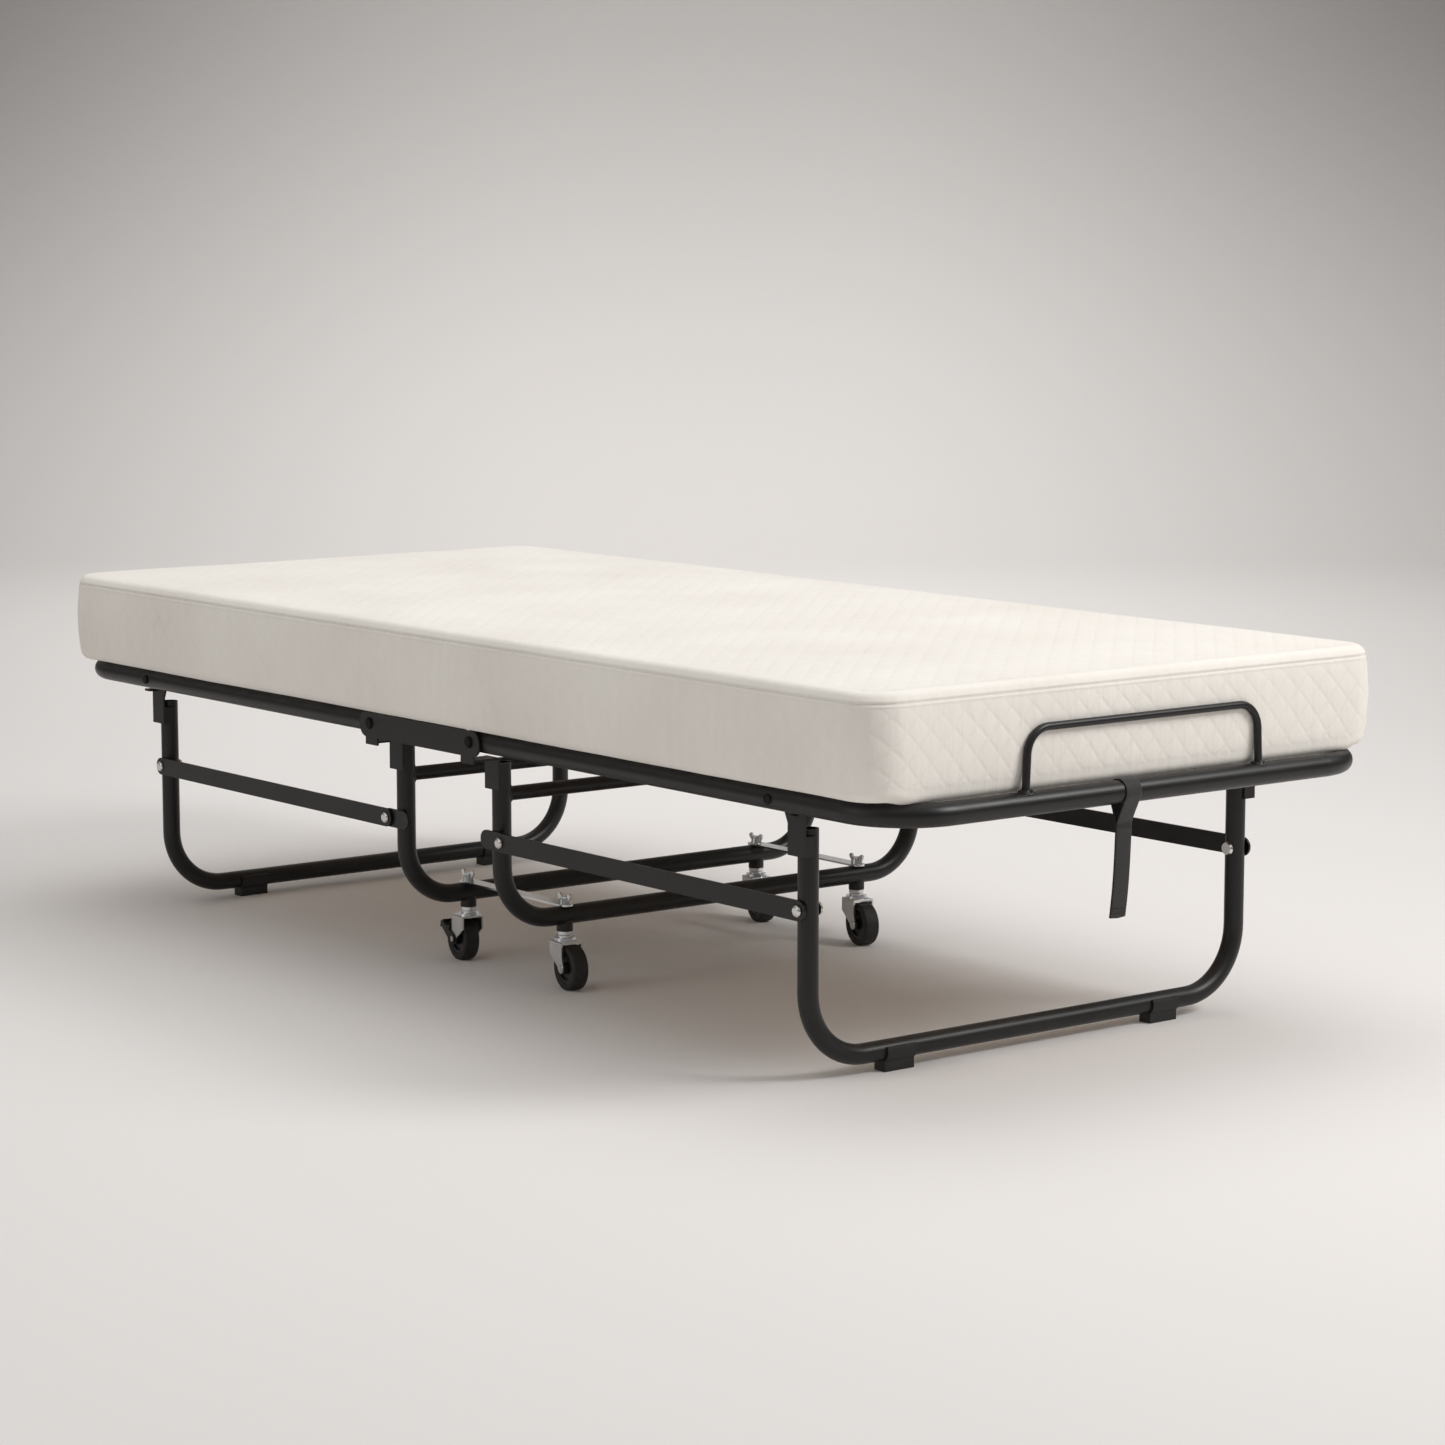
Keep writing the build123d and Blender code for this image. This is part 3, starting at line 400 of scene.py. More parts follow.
def ticking():
    material, tree, shader = new_material(
        "cream knitted ticking", IOR=1.45, Roughness=0.9, Sheen_Weight=0.2, Sheen_Roughness=0.5
    )
    at = put(tree, "ShaderNodeAttribute", {"attribute_name": "place"}).outputs["Vector"]
    quilt_at = put(tree, "ShaderNodeAttribute", {"attribute_name": "quilt"}).outputs["Vector"]
    quilt = put(tree, "ShaderNodeSeparateXYZ", links={"Vector": quilt_at}).outputs
    thread = put(
        tree, "ShaderNodeTexNoise", values={"Scale": speckle(THREAD_MM), "Detail": 3}, links={"Vector": at}
    )
    slub_at = put(tree, "ShaderNodeMapping", values={"Scale": (1, 1, 0.2)}, links={"Vector": at})
    slub = put(
        tree,
        "ShaderNodeTexNoise",
        values={"Scale": speckle(SLUB_MM), "Detail": 4},
        links={"Vector": slub_at.outputs["Vector"]},
    )
    tone = put(
        tree, "ShaderNodeTexNoise", values={"Scale": speckle(TONE_MM), "Detail": 3}, links={"Vector": at}
    )
    eases, stitches = [], []
    for along, across in (("X", "Y"), ("Y", "X")):
        off_line = from_nearest(tree, quilt[along], QUILT_PITCH)
        ease = put(
            tree,
            "ShaderNodeMapRange",
            {"interpolation_type": "SMOOTHSTEP"},
            {"From Max": GROOVE_HALF},
            {"Value": off_line},
        )
        eases.append(ease.outputs["Result"])
        per_stitch = {1: QUILT_PITCH / STITCH_LENGTH}
        steps = put(tree, "ShaderNodeMath", {"operation": "MULTIPLY"}, per_stitch, {0: quilt[across]})
        off_stitch = from_nearest(tree, steps.outputs[0], 1.0)
        below = {"operation": "LESS_THAN"}
        on_line = put(tree, "ShaderNodeMath", below, {1: STITCH_HALF}, {0: off_line})
        in_stitch = put(tree, "ShaderNodeMath", below, {1: STITCH_SHARE}, {0: off_stitch})
        both = {0: on_line.outputs[0], 1: in_stitch.outputs[0]}
        stitches.append(put(tree, "ShaderNodeMath", {"operation": "MULTIPLY"}, links=both).outputs[0])
    groove = put(tree, "ShaderNodeMath", {"operation": "MULTIPLY"}, links={0: eases[0], 1: eases[1]})
    groove = groove.outputs[0]
    sewn = put(tree, "ShaderNodeMath", {"operation": "MAXIMUM"}, links={0: stitches[0], 1: stitches[1]})
    raised = put(
        tree, "ShaderNodeMath", {"operation": "MULTIPLY_ADD"}, {1: 0.25}, {0: sewn.outputs[0], 2: groove}
    )
    height = put(
        tree, "ShaderNodeMath", {"operation": "MULTIPLY"}, links={0: raised.outputs[0], 1: quilt["Z"]}
    )
    shade = put(
        tree,
        "ShaderNodeMath",
        {"operation": "MULTIPLY_ADD"},
        {1: 0.35},
        {0: slub.outputs["Fac"], 2: tone.outputs["Fac"]},
    )
    # Painted shade: the cream is darker in the grooves beside the stitch lines, where the wadding is drawn
    # down.
    sunk = put(tree, "ShaderNodeMath", {"operation": "SUBTRACT"}, {0: 1.0}, {1: groove})
    groove_shade = put(
        tree, "ShaderNodeMath", {"operation": "MULTIPLY"}, links={0: sunk.outputs[0], 1: quilt["Z"]}
    )
    mixed = put(
        tree,
        "ShaderNodeMath",
        {"operation": "MULTIPLY_ADD"},
        {1: -0.09},
        {0: groove_shade.outputs[0], 2: shade.outputs[0]},
    )
    colour = put(
        tree,
        "ShaderNodeValToRGB",
        links={"Fac": mixed.outputs[0]},
        stops=[(0.2, paint("d3ccc1")), (0.45, paint("e9e4dc")), (0.9, paint("f2eee7"))],
    )
    fine = put(
        tree,
        "ShaderNodeBump",
        values={"Strength": 0.5, "Distance": 0.3 * MM},
        links={"Height": thread.outputs["Fac"]},
    )
    coarse = put(
        tree,
        "ShaderNodeBump",
        values={"Strength": 0.7, "Distance": 1.4 * MM},
        links={"Height": slub.outputs["Fac"], "Normal": fine.outputs["Normal"]},
    )
    quilted = put(
        tree,
        "ShaderNodeBump",
        values={"Strength": 0.55, "Distance": 0.8 * MM},
        links={"Height": height.outputs[0], "Normal": coarse.outputs["Normal"]},
    )
    tree.links.new(colour.outputs["Color"], shader.inputs["Base Color"])
    tree.links.new(quilted.outputs["Normal"], shader.inputs["Normal"])
    return material


# %% [markdown]
# ### Strap webbing
# The strap is woven polypropylene webbing: fine ribs across its width, crossed by the cords that run
# along it. Its black is painted greyer on the raised threads as a painted highlight and blacker
# between them as painted shade. It is drawn as two crossed waves on the strap's own flat measures,
# so that the weave follows it round the rail.

# %% Webbing
RIB_PITCH = 1.6 * MM
ONE_WAVE = 0.314  # scale at which the wave pattern repeats once in each unit


def webbing():
    material, tree, shader = new_material(
        "black polypropylene webbing", IOR=1.49, Roughness=0.62, Sheen_Weight=0.3, Sheen_Roughness=0.4
    )
    at = put(tree, "ShaderNodeAttribute", {"attribute_name": "place"}).outputs["Vector"]
    scaled = put(tree, "ShaderNodeMapping", values={"Scale": (1 / RIB_PITCH,) * 3}, links={"Vector": at})
    ribs = put(
        tree,
        "ShaderNodeTexWave",
        {"bands_direction": "Y"},
        values={"Scale": ONE_WAVE, "Distortion": 0.6, "Detail": 1},
        links={"Vector": scaled.outputs["Vector"]},
    )
    cords = put(
        tree,
        "ShaderNodeTexWave",
        {"bands_direction": "X"},
        values={"Scale": ONE_WAVE, "Distortion": 0.4, "Detail": 1},
        links={"Vector": scaled.outputs["Vector"]},
    )
    crossed = {0: ribs.outputs["Fac"], 1: cords.outputs["Fac"]}
    height = put(tree, "ShaderNodeMath", {"operation": "MULTIPLY"}, links=crossed)
    # Painted highlight and painted shade: the black is greyer where the threads stand highest and darker
    # between them.
    colour = put(
        tree,
        "ShaderNodeValToRGB",
        links={"Fac": height.outputs["Value"]},
        stops=[(0.0, paint("0f0e0e")), (0.8, paint("242221"))],
    )
    bump = put(
        tree,
        "ShaderNodeBump",
        values={"Strength": 0.7, "Distance": 0.5 * MM},
        links={"Height": height.outputs["Value"]},
    )
    tree.links.new(colour.outputs["Color"], shader.inputs["Base Color"])
    tree.links.new(bump.outputs["Normal"], shader.inputs["Normal"])
    return material


# %% [markdown]
# ### Finishes of the ready pieces
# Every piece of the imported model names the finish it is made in. One table says which material
# that is. Its values are the colours, roughness and grain of each.

# %% Give each ready piece its finish
FINISHES = {
    "frame_paint": powder_coat(),
    "slat_wood": lacquered_birch(),
    "black_plastic": moulded("black polypropylene", "161514", "1f1e1d", 0.5, 0.6, 0.0001, 1.49),
    "black_bolt": plated_steel("black oxide steel", "1c1b1a", "2b2a28", 0.38, 0.5, 6, 0.5),
    "bright_rivet": plated_steel("nickel plated steel", "d2d0cd", "e4e2df", 0.17, 0.24, 14, 0.4),
    "zinc_plate": plated_steel("zinc plated steel", "cdcfd1", "dfe0e2", 0.2, 0.27, 25, 0.6),
    "castor_rubber": moulded("black rubber", "171615", "262422", 0.62, 0.9, 0.0002, 1.52),
    "castor_nylon": moulded("black nylon", "141414", "201f1f", 0.38, 0.5, 0.0001, 1.53),
    "mattress_cover": ticking(),
    "strap_webbing": webbing(),
}
slot_of = {part["node"]: part["material_slot"] for part in frame["record"]["subparts"]}
for name, piece in nodes.items():
    for index in range(len(piece.material_slots)):
        piece.material_slots[index].material = FINISHES[slot_of[name]]
print(len(nodes), "ready pieces finished")

# %% [markdown]
# ## Mattress
# The real pad is one block of foam in a quilted cover, with a seam a little below its top edge. It
# could be a subdivided box with a cloth simulation, but firm foam barely swells, so its crown, its
# seam and its quilting are worked out as a surface. It is made in two halves that meet in the
# middle.

# %% Pad sizes, from the frame
rest_low, rest_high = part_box("foot_mattress_end")
PAD_HALF_LENGTH = rest_high[0]
PAD_HALF_WIDTH = rest_high[1]
PAD_BOTTOM = rest_low[2]
PAD_TOP = rest_high[2]
CORNER = 50 * MM  # plan radius of the upright corners
EDGE = 13 * MM  # radius of the top and bottom edges
SEAM_DROP = 13 * MM  # seam below the top
STEP = 5 * MM
print("pad", PAD_HALF_LENGTH * 2, PAD_HALF_WIDTH * 2, PAD_TOP - PAD_BOTTOM)


# %% [markdown]
# ### The pad as a grid
# The surface starts as the six faces of a box, each a grid of points. The points are closer near the
# edges, where the surface turns.

# %% Pad grid
def spaced(low, high, step, fine_ends):
    """Places from low to high about a step apart, with finer ones within an edge of each end."""
    inner = np.arange(low + EDGE * 1.3, high - EDGE * 1.3 + step / 2, step)
    ends = np.linspace(0, EDGE * 1.3, 9)[:-1]
    parts = [low + ends if fine_ends[0] else [low], inner, high - ends[::-1] if fine_ends[1] else [high]]
    return np.unique(np.round(np.concatenate(parts), 6))


def box_grid(xs, ys, zs):
    """The six faces of a box as grids of points that share their edges, with faces outward."""
    sheets = []
    for axis, places in enumerate((xs, ys, zs)):
        others = [p for i, p in enumerate((xs, ys, zs)) if i != axis]
        a, b = np.meshgrid(*others, indexing="ij")
        for side in (0, -1):
            sheet = np.insert(np.stack([a, b], -1), axis, places[side], axis=-1).reshape(-1, 3)
            faces = grid_faces(*a.shape)
            outward = (side == -1) == (axis != 1)
            sheets.append((sheet, faces if not outward else faces[:, ::-1]))
    counts = np.cumsum([0] + [len(s[0]) for s in sheets])
    points = np.concatenate([s[0] for s in sheets])
    faces = np.concatenate([s[1] + n for s, n in zip(sheets, counts)])
    unique, index = np.unique(np.round(points, 6), axis=0, return_inverse=True)
    return unique, index.ravel()[faces]


# %% [markdown]
# ### Corners and edges
# The cover's upright corners are round in plan, and its top and bottom edges are round in section.
# Each is a function that moves points, so that the grid keeps its order.

# %% Pad rounding
def rounded_corners(p):
    """Plan corners: the square of side CORNER in each corner is drawn in to a quarter disc, each
    of its coordinates being shortened by the root of one less half the other's square."""
    q = p.copy()
    inner = np.array([PAD_HALF_LENGTH - CORNER, PAD_HALF_WIDTH - CORNER])
    over = np.clip((np.abs(p[:, :2]) - inner) / CORNER, 0, 1)
    drawn = over * np.sqrt(1 - over[:, ::-1] ** 2 / 2)
    moved = np.sign(p[:, :2]) * (inner + drawn * CORNER)
    q[:, :2] = np.where(over > 0, moved, p[:, :2])
    return q


def inset_and_outward(p):
    """How far a plan point lies inside the pad's outline, and the outward direction there."""
    core = np.array([PAD_HALF_LENGTH - CORNER, PAD_HALF_WIDTH - CORNER])
    q = np.abs(p[:, :2]) - core
    clipped = np.maximum(q, 0)
    length = np.linalg.norm(clipped, axis=1)
    inside = np.where(q[:, :1] > q[:, 1:], [[1.0, 0]], [[0, 1.0]])
    outward = np.where(length[:, None] > 1e-9, clipped / np.maximum(length, 1e-9)[:, None], inside)
    distance = CORNER - np.where(length > 1e-9, length, np.max(q, axis=1))
    return distance, outward * np.where(p[:, :2] < 0, -1, 1)


def rounded_edges(p):
    """Top and bottom edges: a point nearer the edge than its radius, measured in from the outline
    and down from the top, is pushed out from the edge's centre line to that radius."""
    q = p.copy()
    inset, outward = inset_and_outward(p)
    middle = (PAD_TOP + PAD_BOTTOM) / 2
    depth = (PAD_TOP - PAD_BOTTOM) / 2 - np.abs(p[:, 2] - middle)
    to_core = np.maximum(EDGE - np.stack([inset, depth], -1), 0)
    length = np.linalg.norm(to_core, axis=1)
    near = (length > 1e-9) & (to_core.min(1) > 0)
    pushed = EDGE - to_core / np.maximum(length, 1e-9)[:, None] * EDGE
    new_inset = np.where(near, pushed[:, 0], inset)
    new_depth = np.where(near, pushed[:, 1], depth)
    q[:, :2] += outward * (inset - new_inset)[:, None]
    q[:, 2] -= np.sign(p[:, 2] - middle) * (new_depth - depth)
    return q


# %% [markdown]
# ### Quilting and unevenness
# Two families of slanting stitch lines make the diamonds, and the wadding rises between them. Real
# foam and cloth are never quite even, so a few slow waves from a seed are added.

# %% Pad quilting
def smooth_step(low, high, x):
    """Nought below low, one above high, and an S-curve in between."""
    t = np.clip((x - low) / (high - low), 0, 1)
    return t * t * (3 - 2 * t)


def quilt_lines(u, v):
    """Both families of stitch lines, as counts of lines passed: they cross at a slant, a pitch
    apart square to themselves."""
    return (u + v) / np.sqrt(2) / QUILT_PITCH, (u - v) / np.sqrt(2) / QUILT_PITCH


def puff(first, second):
    """Rise of the wadding between stitch lines: nought on every line, one amid the diamond, as
    the product of the two families' half waves."""
    return np.abs(np.sin(np.pi * first) * np.sin(np.pi * second))


def ripple(p, seed, wave):
    """A gentle unevenness: the sum of eight plane waves about a wavelength long, in directions
    and phases drawn from a seed."""
    draw = np.random.default_rng(seed)
    direction = draw.normal(size=(8, 3))
    direction *= 2 * np.pi / wave / np.linalg.norm(direction, axis=1)[:, None]
    phase = draw.uniform(0, 2 * np.pi, 8)
    return np.sin(p @ direction.T + phase).sum(1) / 8


def outward_normals(points, faces):
    """Each point's normal: the sum of its faces' normals, each from its diagonals' product."""
    a, b = points[faces[:, 2]] - points[faces[:, 0]], points[faces[:, 3]] - points[faces[:, 1]]
    face_normals = np.cross(a, b)
    total = np.zeros_like(points)
    for corner in range(4):
        np.add.at(total, faces[:, corner], face_normals)
    return total / np.maximum(np.linalg.norm(total, axis=1), 1e-12)[:, None]


# %% [markdown]
# ### Two halves of the pad
# Each point moves along its own normal by the sum of what the foam and the cover do there. The flat
# cut face in the middle stays flat and out of the normals, so that no crease shows between the halves.

# %% Pad halves
CROWN = 4 * MM
BULGE = 6 * MM
CROWN_REACH = 160 * MM  # inwards from the outline, to the full crown
PUFF = 0.7 * MM
TOP_QUILT = 0.6  # share of the puff on the top
SIDE_QUILT = 0.4  # and on the sides
END_QUILT = 0.3  # and how much more on the ends
LINE_WANDER = 1.6 * MM  # of the stitch lines, as they were sewn
SOFT_WAVE = 1.2 * MM
FINE_WAVE = 0.3 * MM
SEAM_DEPTH = 1.7 * MM
SEAM_HALF = 1.3 * MM
RIM_SAG = 6.5 * MM  # of the foam into the gap between the last slat and the end rail
SAG_START = 80 * MM  # before the pad's end
SAG_FULL = 35 * MM
SAG_ASIDE = 30 * MM  # over which the sag grows, from the side rails inwards


def pad_half(name, low, high):
    """Half of the pad between two x places: a box grid, its corners and edges rounded, then each
    point moved along its normal by the crown, the bulge, the seam and the quilting."""
    fine = (low < 0, high > 0)
    xs = spaced(low, high, STEP, fine)
    ys = spaced(-PAD_HALF_WIDTH, PAD_HALF_WIDTH, STEP, (True, True))
    near_edge = np.arange(0, SEAM_DROP + 7 * MM, 1 * MM)
    inner = np.arange(near_edge[-1] + 3 * MM, PAD_TOP - PAD_BOTTOM - near_edge[-1] - 1 * MM, STEP)
    zs = PAD_BOTTOM + np.concatenate([near_edge, inner, (PAD_TOP - PAD_BOTTOM) - near_edge[::-1]])
    flat, faces = box_grid(xs, ys, zs)
    points = rounded_edges(rounded_corners(flat))
    inset, outward = inset_and_outward(points)
    half_thick = (PAD_TOP - PAD_BOTTOM) / 2
    height = (points[:, 2] - PAD_BOTTOM - half_thick) / half_thick
    drop = half_thick * (1 - np.abs(height))
    on_top = smooth_step(EDGE, EDGE + 6 * MM, inset)
    on_side = smooth_step(SEAM_DROP + 4 * MM, SEAM_DROP + 10 * MM, drop)
    to_end = smooth_step(0.3, 0.7, np.abs(outward[:, 0]))
    crown = CROWN * smooth_step(0, CROWN_REACH, inset) * np.clip(height, 0, 1)
    bulge = BULGE * (1 - height**2) * (1 - on_top)
    from_seam = (drop - SEAM_DROP) / SEAM_HALF
    bead = 0.5 * np.exp(-((from_seam - 2.2) ** 2)) + 0.3 * np.exp(-((from_seam + 2) ** 2))
    seam = SEAM_DEPTH * (bead - np.exp(-(from_seam**2))) * (1 - on_top) * (height > 0)
    u = np.where(to_end * (1 - on_top) > 0.5, points[:, 1], points[:, 0])
    v = np.where(on_top > 0.5, points[:, 1], points[:, 2])
    warp = LINE_WANDER * ripple(points, 21, 0.11)
    lines = quilt_lines(u + warp, v - warp)
    share = np.maximum(TOP_QUILT * on_top, on_side * (SIDE_QUILT + END_QUILT * to_end) * (1 - on_top))
    share *= 1 + 0.5 * ripple(points, 33, 0.16)
    share *= 1 - 4 * to_end * (1 - to_end) * (1 - on_top)
    uneven = SOFT_WAVE * ripple(points, 4, 0.35) + FINE_WAVE * ripple(points, 9, 0.06)
    at_cap = np.abs(flat[faces][:, :, 0]).max(1) < 1e-9
    normal = outward_normals(points, faces[~at_cap])
    normal[np.abs(flat[:, 0]) < 1e-9, 0] = 0
    shift = crown + bulge + seam + PUFF * puff(*lines) * share + uneven
    moved = points + normal * shift[:, None]
    past_slats = smooth_step(PAD_HALF_LENGTH - SAG_START, PAD_HALF_LENGTH - SAG_FULL, np.abs(points[:, 0]))
    over_rail = smooth_step(0, SAG_ASIDE, PAD_HALF_WIDTH - np.abs(points[:, 1]) - SAG_FULL)
    moved[:, 2] -= RIM_SAG * past_slats * over_rail * smooth_step(0.2, -1, height)
    quilt = np.stack([*lines, share], -1)
    half = add_mesh(name, moved, faces, FINISHES["mattress_cover"], place=points, quilt=quilt)
    half.data.polygons.foreach_set("use_smooth", ~at_cap)
    joined = np.empty(len(half.data.edges) * 2, np.int32)
    half.data.edges.foreach_get("vertices", joined)
    on_cap = np.abs(flat[joined.reshape(-1, 2)][:, :, 0]).max(1) < 1e-9
    half.data.attributes.new("sharp_edge", "BOOLEAN", "EDGE").data.foreach_set("value", on_cap)
    return half


# %% [markdown]
# ### The two halves
# The foot half runs from the middle of the cot to its foot end and the head half to its head end.
# Both are made where they lie on the flat cot, and the imported pad pieces are hidden.

# %% Put the pad on the decks
for end, side, other in (("foot", 1, "foot_deck"), ("head", -1, "head_deck")):
    low, high = sorted((0, side * PAD_HALF_LENGTH))
    half = pad_half(f"{end}_mattress_half", low, high)
    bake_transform(half)
    print(half.name, len(half.data.polygons), "faces")
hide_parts("foot_mattress_end", "mattress_middle")
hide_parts("head_mattress_end")

# %% [markdown]
# ## Storage strap
# A length of webbing goes round the foot rail and hangs from it as a double tail, sewn together
# under the rail and at its end. A narrow strap is stiff across its width, so it is modelled
# straight along its path, with the slight lean that a hanging strap takes.

# %% Strap path
rail_low, rail_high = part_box("foot_deck_rail")
strap_low, strap_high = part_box("storage_strap")
RAIL_RADIUS = (rail_high[2] - rail_low[2]) / 2
RAIL_X, RAIL_Z = rail_high[0] - RAIL_RADIUS, rail_high[2] - RAIL_RADIUS
STRAP_Y = (strap_low[1] + strap_high[1]) / 2
STRAP_WIDTH = 25 * MM
STRAP_THICK = 1.5 * MM
JOIN_DROP = 33 * MM  # where the two layers meet, below the middle of the rail
TAIL_END = strap_low[2]
BEND_ROOM = 4 * MM  # for the layers to turn towards each other
LEAN = 9 * MM  # of the tail's end towards the right side
SWAY = 2.2 * MM  # of the tail, out from straight down
print("rail", round(RAIL_X, 4), round(RAIL_Z, 4), round(RAIL_RADIUS, 4), "strap y", round(STRAP_Y, 4))


def strap_path():
    """Middle line of the webbing in the plane square to the rail: up the back layer of the tail,
    along the tangent to the rail, round over it, and down again in front."""
    wrap = RAIL_RADIUS + STRAP_THICK / 2 + 0.5 * MM
    reach = np.arccos(wrap / JOIN_DROP)
    turn = np.linspace(reach, 2 * np.pi - reach, 48)
    round_rail = np.stack([-np.sin(turn) * wrap, -np.cos(turn) * wrap], -1)
    apart = STRAP_THICK / 2 + 0.1 * MM
    tail = np.linspace(TAIL_END - RAIL_Z, -JOIN_DROP - BEND_ROOM, 60)
    back = np.stack([np.full_like(tail, -apart), tail], -1)
    front = back[::-1] * [-1, 1]
    path = np.concatenate([back, round_rail, front])
    return resampled(path, 1.2 * MM)


def resampled(path, step):
    """The same line with points an even step apart, lightly smoothed."""
    length = np.concatenate([[0], np.cumsum(np.linalg.norm(np.diff(path, axis=0), axis=1))])
    places = np.linspace(0, length[-1], int(length[-1] / step))
    even = np.stack([np.interp(places, length, path[:, i]) for i in range(path.shape[1])], -1)
    for _ in range(3):
        even[1:-1] = (even[:-2] + 2 * even[1:-1] + even[2:]) / 4
    return even


def webbing_strip(name, path, width, thick, lean):
    """A strip along a path: at each point a rounded oblong section of the given width and
    thickness stands square to the path, and lean moves it sideways."""
    along = np.gradient(path, axis=0)
    along /= np.linalg.norm(along, axis=1)[:, None]
    out = np.stack([along[:, 1], -along[:, 0]], -1)
    turn = np.linspace(0, 2 * np.pi, 40, endpoint=False)
    side = np.sign(np.cos(turn)) * np.abs(np.cos(turn)) ** 0.35 * width / 2
    rise = np.sign(np.sin(turn)) * np.abs(np.sin(turn)) ** 0.5 * thick / 2
    x = RAIL_X + path[:, :1] + out[:, :1] * rise
    z = RAIL_Z + path[:, 1:] + out[:, 1:] * rise
    y = STRAP_Y + lean[:, None] + side[None, :] + 0 * x
    points = np.stack([x, y, z], -1)
    points[0] = points[0].mean(0)
    points[-1] = points[-1].mean(0)
    length = np.linspace(0, 1, len(path)) * np.linalg.norm(np.diff(path, axis=0), axis=1).sum()
    place = np.stack(np.broadcast_arrays(side[None, :], length[:, None], rise[None, :]), -1)
    faces = grid_faces(len(path), len(turn), close_columns=True)
    return add_mesh(name, points.reshape(-1, 3), faces, FINISHES["strap_webbing"], place=place.reshape(-1, 3))


# %% [markdown]
# ### The strap and its stitches
# The webbing is swept along its path. Rows of stitches hold the two layers together: each stitch is
# a short thread that stands out of the cloth, the same on both faces.

# %% Strap
path = strap_path()
share_down = np.clip((-JOIN_DROP - path[:, 1]) / (RAIL_Z - JOIN_DROP - TAIL_END), 0, 1)
path[:, 0] += SWAY * np.sin(share_down * np.pi) * share_down
lean = -LEAN * share_down**1.3 + 2 * MM * smooth_step(-JOIN_DROP, RAIL_RADIUS, path[:, 1])
strap = webbing_strip("storage_strap_webbing", path, STRAP_WIDTH, STRAP_THICK, lean)


# %% Strap stitches
def stitch_rows(drops, gap, length, radius):
    """Stitches across the strap at each drop below the middle of the rail, on both faces: every
    stitch is an arched six-sided tube, drawn in at its ends and standing a little out."""
    across = np.arange(-STRAP_WIDTH / 2 + 2 * MM, STRAP_WIDTH / 2 - 2 * MM, gap) + length / 2
    arch = np.stack([[0, -0.5, 0], [0.1, -0.25, 0], [0.1, 0.25, 0], [0, 0.5, 0]]) * length
    unit, faces = tube_along(arch, radius, 6)
    middle = np.interp(drops, -path[: len(path) // 2, 1][::-1], path[: len(path) // 2, 0][::-1])
    sway = np.interp(drops, -path[: len(path) // 2, 1][::-1], lean[: len(path) // 2][::-1])
    made = []
    for front in (-1, 1):
        out = middle if front < 0 else middle + 2 * (STRAP_THICK / 2 + 0.1 * MM)
        x = RAIL_X + out + front * (STRAP_THICK / 2 + 0.1 * MM)
        y = STRAP_Y + sway[:, None] + across[None, :]
        centres = np.stack(np.broadcast_arrays(x[:, None], y, (RAIL_Z - drops)[:, None]), -1).reshape(-1, 3)
        made.append(unit[None] * [front, 1, 1] + centres[:, None])
    points = np.concatenate(made)
    turned = np.arange(len(points)) < len(points) // 2
    every = np.where(turned[:, None, None], faces[None, :, ::-1], faces[None])
    every = every + np.arange(len(points))[:, None, None] * len(unit)
    return points.reshape(-1, 3), every.reshape(-1, 4)


tail_length = RAIL_Z - TAIL_END
drops = np.array([JOIN_DROP + 7 * MM, JOIN_DROP + 10 * MM, tail_length - 12 * MM, tail_length - 6 * MM])
stitch_points, stitch_faces = stitch_rows(drops, 3.2 * MM, 2.4 * MM, 0.3 * MM)
thread = moulded("black polyester thread", "1c1b1a", "2a2927", 0.55, 0.4, 0.0001, 1.55)
stitches = add_mesh("storage_strap_stitches", stitch_points, stitch_faces, thread)
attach(stitches, "strap")
print("stitches", len(stitch_faces), "faces")
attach(strap, "strap")
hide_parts("storage_strap")

# %% [markdown]
# ## Welds
# The hoops stand on the end rails and the cross tubes run between the legs of the castor frames,
# each held by a fillet weld all round. A weld bead is a ring of overlapping scales that follows
# the round of the tube it is laid on, and it is coated with the frame.

# %% Weld beads
WELD_RADIUS = 1.7 * MM
SCALES = 17  # of the bead, round one joint


def weld_bead(centre, axis, aside, joint_radius, tube_radius, seed):
    """A ring of the joint's radius about an axis, its own thickness rippled by the scales. It
    sinks along the axis by as much as the tube's round falls away at that distance aside."""
    axis, aside = np.asarray(axis, float), np.asarray(aside, float)
    along = np.cross(axis, aside)
    phase = np.random.default_rng(seed).uniform(0, 2 * np.pi, 2)
    round_joint = np.linspace(0, 2 * np.pi, 102, endpoint=False)[:, None]
    round_bead = np.linspace(0, 2 * np.pi, 8, endpoint=False)[None, :]
    scaled = 0.14 * np.sin(SCALES * round_joint + phase[0])
    swell = 0.1 * np.sin(3 * round_joint + phase[1])
    thick = WELD_RADIUS * (1 + scaled + swell)
    reach = joint_radius + 0.4 * WELD_RADIUS + thick * np.cos(round_bead)
    side = reach * np.cos(round_joint)
    fall = tube_radius - np.sqrt(np.maximum(tube_radius**2 - side**2, 0))
    rise = thick * np.sin(round_bead) - fall
    ahead = reach * np.sin(round_joint)
    points = side[..., None] * aside + ahead[..., None] * along + rise[..., None] * axis
    faces = grid_faces(points.shape[0], points.shape[1], close_rows=True, close_columns=True)
    return (points + centre).reshape(-1, 3), faces


def weld_set(name, beads, body):
    """Joins beads into one coated piece that rides on a body."""
    points = np.concatenate([bead[0] for bead in beads])
    faces = np.concatenate([bead[1] + i * len(bead[0]) for i, bead in enumerate(beads)])
    welds = add_mesh(name, points, faces, FINISHES["frame_paint"])
    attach(welds, body)
    print(name, len(beads), "beads")


